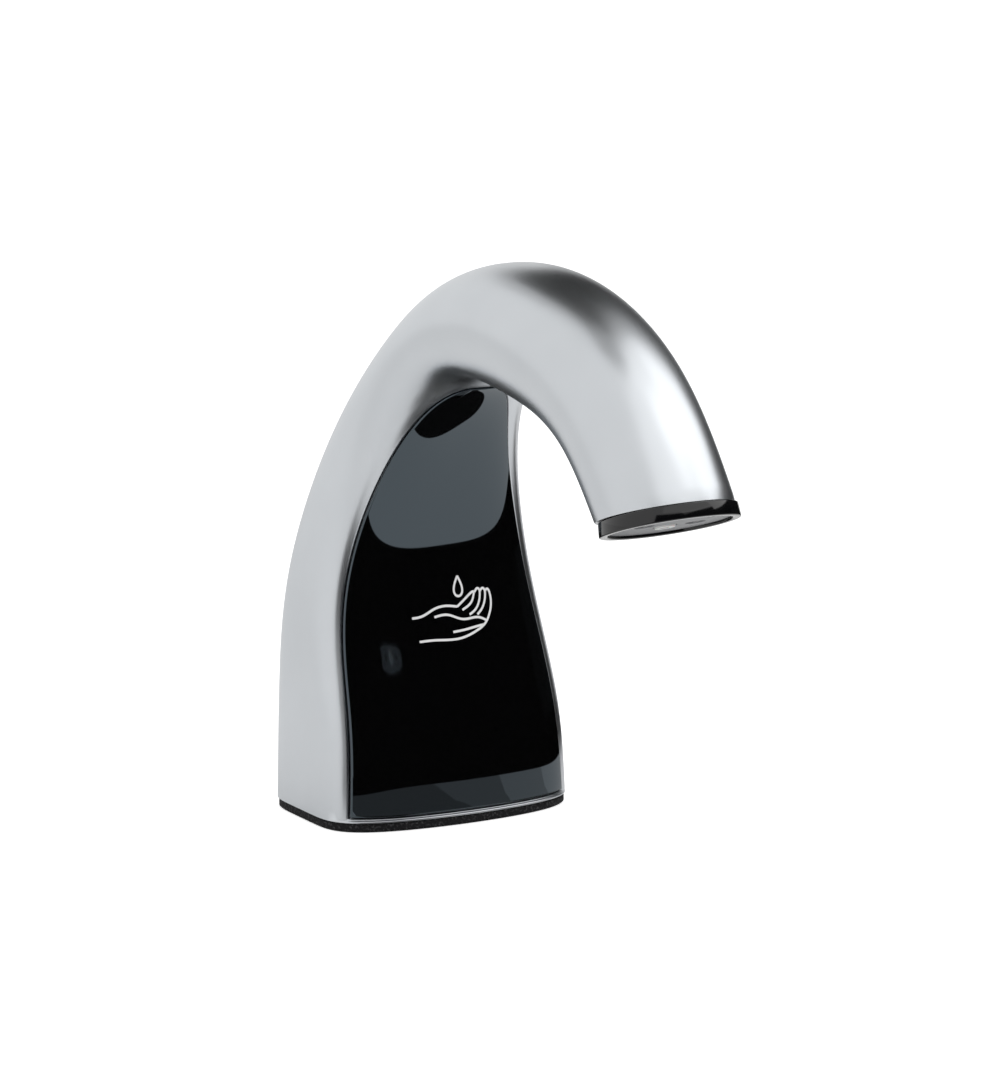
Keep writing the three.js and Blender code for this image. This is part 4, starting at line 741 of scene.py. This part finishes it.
# The hand and drop sign on the fascia: its strokes in millimetres from its own middle
SIGN_PLACE = 0.2275
SIGN_ACROSS = 0.045
SIGN_STROKE = 0.62
SIGN_HEIGHT = 0.04
SIGN_STROKES = [
    [(-13.3, -1.5), (-9.8, -1.1), (-6.2, 0.3), (-2.4, 0.9), (1.6, 0.4)],
    [(1.6, 0.4), (4.2, 2.0), (6.8, 3.6), (7.8, 3.5)],
    [(7.6, 3.4), (6.3, 1.0), (3.2, -0.6)],
    [(7.8, 3.5), (8.8, 4.4), (9.6, 3.6), (9.1, 1.2), (7.6, -0.8), (5.4, -2.0)],
    [(9.7, 3.6), (10.6, 4.3), (11.4, 3.4), (10.9, 0.9), (9.6, -1.0), (8.0, -2.2)],
    [(11.4, 3.5), (12.4, 3.9), (13.1, 2.3), (13.0, -0.2), (12.1, -2.4), (10.6, -4.4), (8.4, -5.8)],
    [(8.4, -5.8), (4.4, -7.2), (0.2, -7.9), (-4.2, -7.8), (-8.0, -7.6), (-12.0, -7.7)],
    [(-6.2, -1.7), (-2.0, -1.4), (1.6, -2.6), (4.6, -3.0), (8.0, -2.9), (10.8, -4.0)],
    [(-0.8, -6.0), (3.4, -5.7), (6.6, -5.3), (9.6, -5.0)],
]
DROP_CENTRE = (2.4, 4.9)
DROP_RADIUS = 1.9
DROP_TIP = 3.2
DROP_NARROWING = 1.2


def smooth_line(points, steps=8):
    """Points along a smooth line through a stroke's points."""
    across = spline([u for u, _ in points])
    up = spline([v for _, v in points])
    count = steps * (len(points) - 1)
    return [(across(i / count), up(i / count)) for i in range(count + 1)]


def drop_outline(steps=36):
    """A closed drop: a round bottom that narrows to a tip."""
    points = []
    for i in range(steps + 1):
        turn = 2 * math.pi * i / steps
        narrow = math.sin(turn / 2) ** DROP_NARROWING
        u = DROP_RADIUS * math.sin(turn) * narrow
        v = DROP_TIP * math.cos(turn / 2) ** 2 - DROP_RADIUS * math.sin(turn / 2) ** 2
        points.append((DROP_CENTRE[0] + u, DROP_CENTRE[1] + v))
    return points


def on_fascia(u, v, lift):
    place = SIGN_PLACE + v / LINE_LENGTH
    return front_point(place, SIGN_ACROSS + u / half_width(place), -lift)


def stroke_rows(line):
    """A thin raised ribbon along a line on the fascia, with square ends."""
    rows = []
    for i, (u, v) in enumerate(line):
        before = Vector(line[max(i - 1, 0)])
        after = Vector(line[min(i + 1, len(line) - 1)])
        along = (after - before).normalized()
        side = Vector((-along.y, along.x)) * SIGN_STROKE / 2
        left, right = Vector((u, v)) + side, Vector((u, v)) - side
        section = [(left, 0), (left, SIGN_HEIGHT), (right, SIGN_HEIGHT), (right, 0)]
        rows.append([on_fascia(p.x, p.y, lift) for p, lift in section])
    return rows


def build_sign():
    lines = [smooth_line(points) for points in SIGN_STROKES] + [drop_outline()]
    patches = []
    for line in lines:
        rows = closed_rows(stroke_rows(line))
        ends = [[row[:2], [row[3], row[2]]] for row in (rows[0], rows[-1])]
        patches += [rows, *ends]
    sign = make_mesh("hand_sign", patches, sharp=30)
    dress(sign, "casing", "gloss_black", material=SIGN_WHITE)


# The camera, at the photograph's angle
CAMERA_AZIMUTH = -29.57
CAMERA_ELEVATION = 10.29
CAMERA_DISTANCE = 1174.6
AIM_RIGHT = 20.25
AIM_UP = 76.25
CAMERA_LENS = 133.2
CAMERA_REACH = 20


def add_camera():
    azimuth, elevation = math.radians(CAMERA_AZIMUTH), math.radians(CAMERA_ELEVATION)
    right = Vector((math.cos(azimuth), math.sin(azimuth), 0))
    level = Vector((math.sin(azimuth), -math.cos(azimuth), 0)) * math.cos(elevation)
    back = level + Vector((0, 0, math.sin(elevation)))
    up = back.cross(right)
    place = AIM_RIGHT * right + AIM_UP * up + CAMERA_DISTANCE * back
    camera = bpy.data.objects.new("camera", bpy.data.cameras.new("camera"))
    camera.matrix_world = Matrix((right, up, back)).transposed().to_4x4()
    camera.matrix_world.translation = place * MM
    camera.data.lens = CAMERA_LENS
    camera.data.clip_end = CAMERA_REACH
    bpy.context.scene.collection.objects.link(camera)
    bpy.context.scene.camera = camera


BLACK = (0, 0, 0)
WHITE = (1, 1, 1)


def emission_material(name, colour, strength):
    material = bpy.data.materials.new(name)
    material.use_nodes = True
    tree = material.node_tree
    tree.nodes.clear()
    light = tree.nodes.new("ShaderNodeEmission")
    light.inputs["Color"].default_value = (*colour, 1)
    light.inputs["Strength"].default_value = strength
    out = tree.nodes.new("ShaderNodeOutputMaterial")
    tree.links.new(light.outputs["Emission"], out.inputs["Surface"])
    return material


def floor_glow(name, steep, grazed, fade_start, fade_end):
    """A glow for floor cards: one strength where seen steeply, another where grazed."""
    material = emission_material(name, WHITE, steep)
    tree = material.node_tree
    graze = tree.nodes.new("ShaderNodeLayerWeight")
    fade = tree.nodes.new("ShaderNodeMapRange")
    fade.inputs["From Min"].default_value = fade_start
    fade.inputs["From Max"].default_value = fade_end
    fade.inputs["To Min"].default_value = steep
    fade.inputs["To Max"].default_value = grazed
    tree.links.new(graze.outputs["Facing"], fade.inputs["Value"])
    tree.links.new(fade.outputs["Result"], tree.nodes["Emission"].inputs["Strength"])
    return material


# What the cards and the lamp stand round
ARM_MIDDLE = (0, -80, 130)


def toward(azimuth, elevation):
    """A direction from its azimuth, 0 at the front and 90 at +X, and its elevation, in degrees."""
    a, e = math.radians(azimuth), math.radians(elevation)
    return Vector((math.sin(a) * math.cos(e), -math.cos(a) * math.cos(e), math.sin(e)))


def place_round(thing, azimuth, elevation, distance):
    """Puts a card or lamp round the arm, facing it."""
    way = toward(azimuth, elevation)
    thing.location = (Vector(ARM_MIDDLE) + distance * way) * MM
    thing.rotation_euler = way.to_track_quat("Z", "Y").to_euler()


def add_card(name, material, rows):
    """A stage card that only reflections see, so it never stands in the camera's way."""
    mesh = bpy.data.meshes.new(name)
    across = len(rows[0])
    faces = []
    for i in range(len(rows) - 1):
        for j in range(across - 1):
            corner = i * across + j
            faces.append((corner, corner + 1, corner + across + 1, corner + across))
    mesh.from_pydata([Vector(point) * MM for row in rows for point in row], [], faces)
    mesh.materials.append(material)
    card = bpy.data.objects.new(name, mesh)
    card.visible_camera = False
    card.visible_diffuse = False
    card.visible_shadow = False
    card.visible_transmission = False
    bpy.context.scene.collection.objects.link(card)


def curved_rows(rings, start, end, steps=40):
    """Rows of points round the foot, for radii and heights, between two azimuths."""
    rows = []
    for radius, height in rings:
        turns = [math.radians(mix(start, end, i / steps)) for i in range(steps + 1)]
        rows.append([(radius * math.sin(a), -radius * math.cos(a), height) for a in turns])
    return rows


def add_softbox(name, width, height, radiance):
    """A rectangular lamp whose face has a given radiance."""
    lamp = bpy.data.lights.new(name, "AREA")
    lamp.shape = "RECTANGLE"
    lamp.size, lamp.size_y = width * MM, height * MM
    lamp.energy = radiance * math.pi * lamp.size * lamp.size_y
    box = bpy.data.objects.new(name, lamp)
    bpy.context.scene.collection.objects.link(box)
    return box


# The floor's half width in metres, and its drop in millimetres, which keeps it off the gasket
FLOOR_HALF = 6
FLOOR_DROP = 0.1
FLOOR_LIFT = 0.6
FLOOR_GREY = (0.86, 0.86, 0.86)
SKY_STRENGTH = 0.9


def add_floor():
    """A pale floor that the camera sees as white, apart from the object's faint shadow."""
    mesh = bpy.data.meshes.new("floor")
    half, drop = FLOOR_HALF, FLOOR_DROP * MM
    corners = [(-half, -half), (half, -half), (half, half), (-half, half)]
    mesh.from_pydata([(x, y, -drop) for x, y in corners], [], [(0, 1, 2, 3)])
    floor = bpy.data.objects.new("floor", mesh)
    bpy.context.scene.collection.objects.link(floor)
    material, tree, shader = new_material("floor")
    shader.inputs["Base Color"].default_value = (*FLOOR_GREY, 1)
    shader.inputs["Roughness"].default_value = 0.9
    shader.inputs["Specular IOR Level"].default_value = 0
    shader.inputs["Emission Color"].default_value = (*WHITE, 1)
    path = tree.nodes.new("ShaderNodeLightPath")
    lift = tree.nodes.new("ShaderNodeMath")
    lift.operation = "MULTIPLY"
    lift.inputs[1].default_value = FLOOR_LIFT
    tree.links.new(path.outputs["Is Camera Ray"], lift.inputs[0])
    tree.links.new(lift.outputs["Value"], shader.inputs["Emission Strength"])
    floor.data.materials.append(material)


def add_world():
    """White behind the object for the camera, a slightly dimmer sky for the light."""
    world = bpy.data.worlds.new("studio")
    bpy.context.scene.world = world
    world.use_nodes = True
    tree = world.node_tree
    sky = tree.nodes["Background"]
    path = tree.nodes.new("ShaderNodeLightPath")
    level = tree.nodes.new("ShaderNodeMapRange")
    level.inputs["To Min"].default_value = SKY_STRENGTH
    level.inputs["To Max"].default_value = 1
    tree.links.new(path.outputs["Is Camera Ray"], level.inputs["Value"])
    tree.links.new(level.outputs["Result"], sky.inputs["Strength"])
    sky.inputs["Color"].default_value = (*WHITE, 1)


def round_patch(distance, edges, steps=12):
    """Rows of a card bent round the arm, from its left and right azimuths at each elevation."""
    rows = []
    for elevation, left, right in edges:
        turns = [mix(left, right, i / steps) for i in range(steps + 1)]
        rows.append([Vector(ARM_MIDDLE) + distance * toward(turn, elevation) for turn in turns])
    return rows


# The edges of the cards round the arm: an elevation, then the azimuths left and right there
FLAG_RIGHT_EDGES = [
    (-14, 82, 118),
    (0, 78, 128),
    (14, 86, 143),
    (28, 106, 154),
    (42, 126, 176),
    (56, 130, 186),
    (68, 126, 184),
    (78, 116, 186),
]
FLAG_LEFT_EDGES = [(28, 101, 106), (42, 108, 126), (56, 110, 130), (68, 106, 126), (78, 98, 116)]
FLAG_BACK_EDGES = [(28, 154, 164), (42, 176, 192), (56, 186, 204), (68, 184, 206), (78, 186, 208)]
FLAG_TOP_EDGES = [(elevation, -180, 180) for elevation in (79, 85, 90)]
GLOW_FRONT_EDGES = [(elevation, -40, 100) for elevation in (31, 46, 60, 74)]
GLOW_RIGHT_EDGES = [(elevation, 48, 98) for elevation in (20, 34, 48, 60)]
# Each card's name, glow, distance and edges
ROUND_CARDS = [
    ("flag_right", 0.01, 420, FLAG_RIGHT_EDGES),
    ("flag_left_edge", 0.34, 420, FLAG_LEFT_EDGES),
    ("flag_back_edge", 0.55, 420, FLAG_BACK_EDGES),
    ("flag_top", 0.35, 420, FLAG_TOP_EDGES),
    ("glow_front", 1.2, 720, GLOW_FRONT_EDGES),
    ("glow_right", 1.65, 600, GLOW_RIGHT_EDGES),
]
# The azimuths and the top of the black far out in front, and the lamp: its place is its
# azimuth, elevation and distance
BLACK_SPAN = (-48, 110)
BLACK_WALL_TOP = 640
KEY_SIZE = (1150, 700)
KEY_RADIANCE = 0.5
KEY_PLACE = (38, 56, 700)

# The floor as the gloss sees it. A sector has its azimuths and its glow where grazed.
FLOOR_GLOW = 0.85
FLOOR_SHADE = 0.01
FLOOR_SECTORS = [(-58, 10, 0.16), (10, 34, 0.28), (34, 58, 0.5), (58, 118, 0.75)]
FLOOR_SPAN = (-58, 118)
FLOOR_RADII = (30, 76, 118, 262, 320, 1000)
FLOOR_CARD_LEVEL = 1.5
FLOOR_FLAG_LEVEL = 2
NEAR_FADE = (0.4, 0.6)
FAR_FADE = (0.7, 0.8)


def add_floor_cards(black):
    """What the gloss sees of the floor: shade at the foot, then pale, then black far out."""
    foot, near, middle, far, overlap, end = FLOOR_RADII
    level, flag_level = FLOOR_CARD_LEVEL, FLOOR_FLAG_LEVEL
    for start, stop, grazed in FLOOR_SECTORS:
        shade = floor_glow("floor_shade", FLOOR_SHADE, grazed, *NEAR_FADE)
        pale = floor_glow("floor_pale", FLOOR_GLOW, grazed, *NEAR_FADE)
        add_card("card_near", shade, curved_rows([(foot, level), (near, level)], start, stop))
        add_card("card_middle", pale, curved_rows([(near, level), (middle, level)], start, stop))
    fading = floor_glow("floor_fading", FLOOR_GLOW, 0, *FAR_FADE)
    add_card("card_far", fading, curved_rows([(middle, level), (overlap, level)], *FLOOR_SPAN))
    add_card("flag_floor", black, curved_rows([(far, flag_level), (end, flag_level)], *BLACK_SPAN))


def add_studio():
    """A wide soft lamp, glows for the highlights and dark cards that give the gloss its blacks."""
    for name, strength, distance, edges in ROUND_CARDS:
        add_card(name, emission_material(name, WHITE, strength), round_patch(distance, edges))
    black = emission_material("black", BLACK, 0)
    end = FLOOR_RADII[-1]
    wall = [(end, FLOOR_FLAG_LEVEL), (end, BLACK_WALL_TOP)]
    add_card("flag_front", black, curved_rows(wall, *BLACK_SPAN))
    add_floor_cards(black)
    place_round(add_softbox("key", *KEY_SIZE, KEY_RADIANCE), *KEY_PLACE)


add_camera()
dress_cad_nodes()
build_shell()
build_fascia()
build_gasket()
build_collar()
build_face()
build_nozzle()
build_sensor_eyes()
build_face_screws()
build_valve_spring()
build_sign()
add_floor()
add_world()
add_studio()

bpy.context.scene.view_settings.view_transform = "Standard"
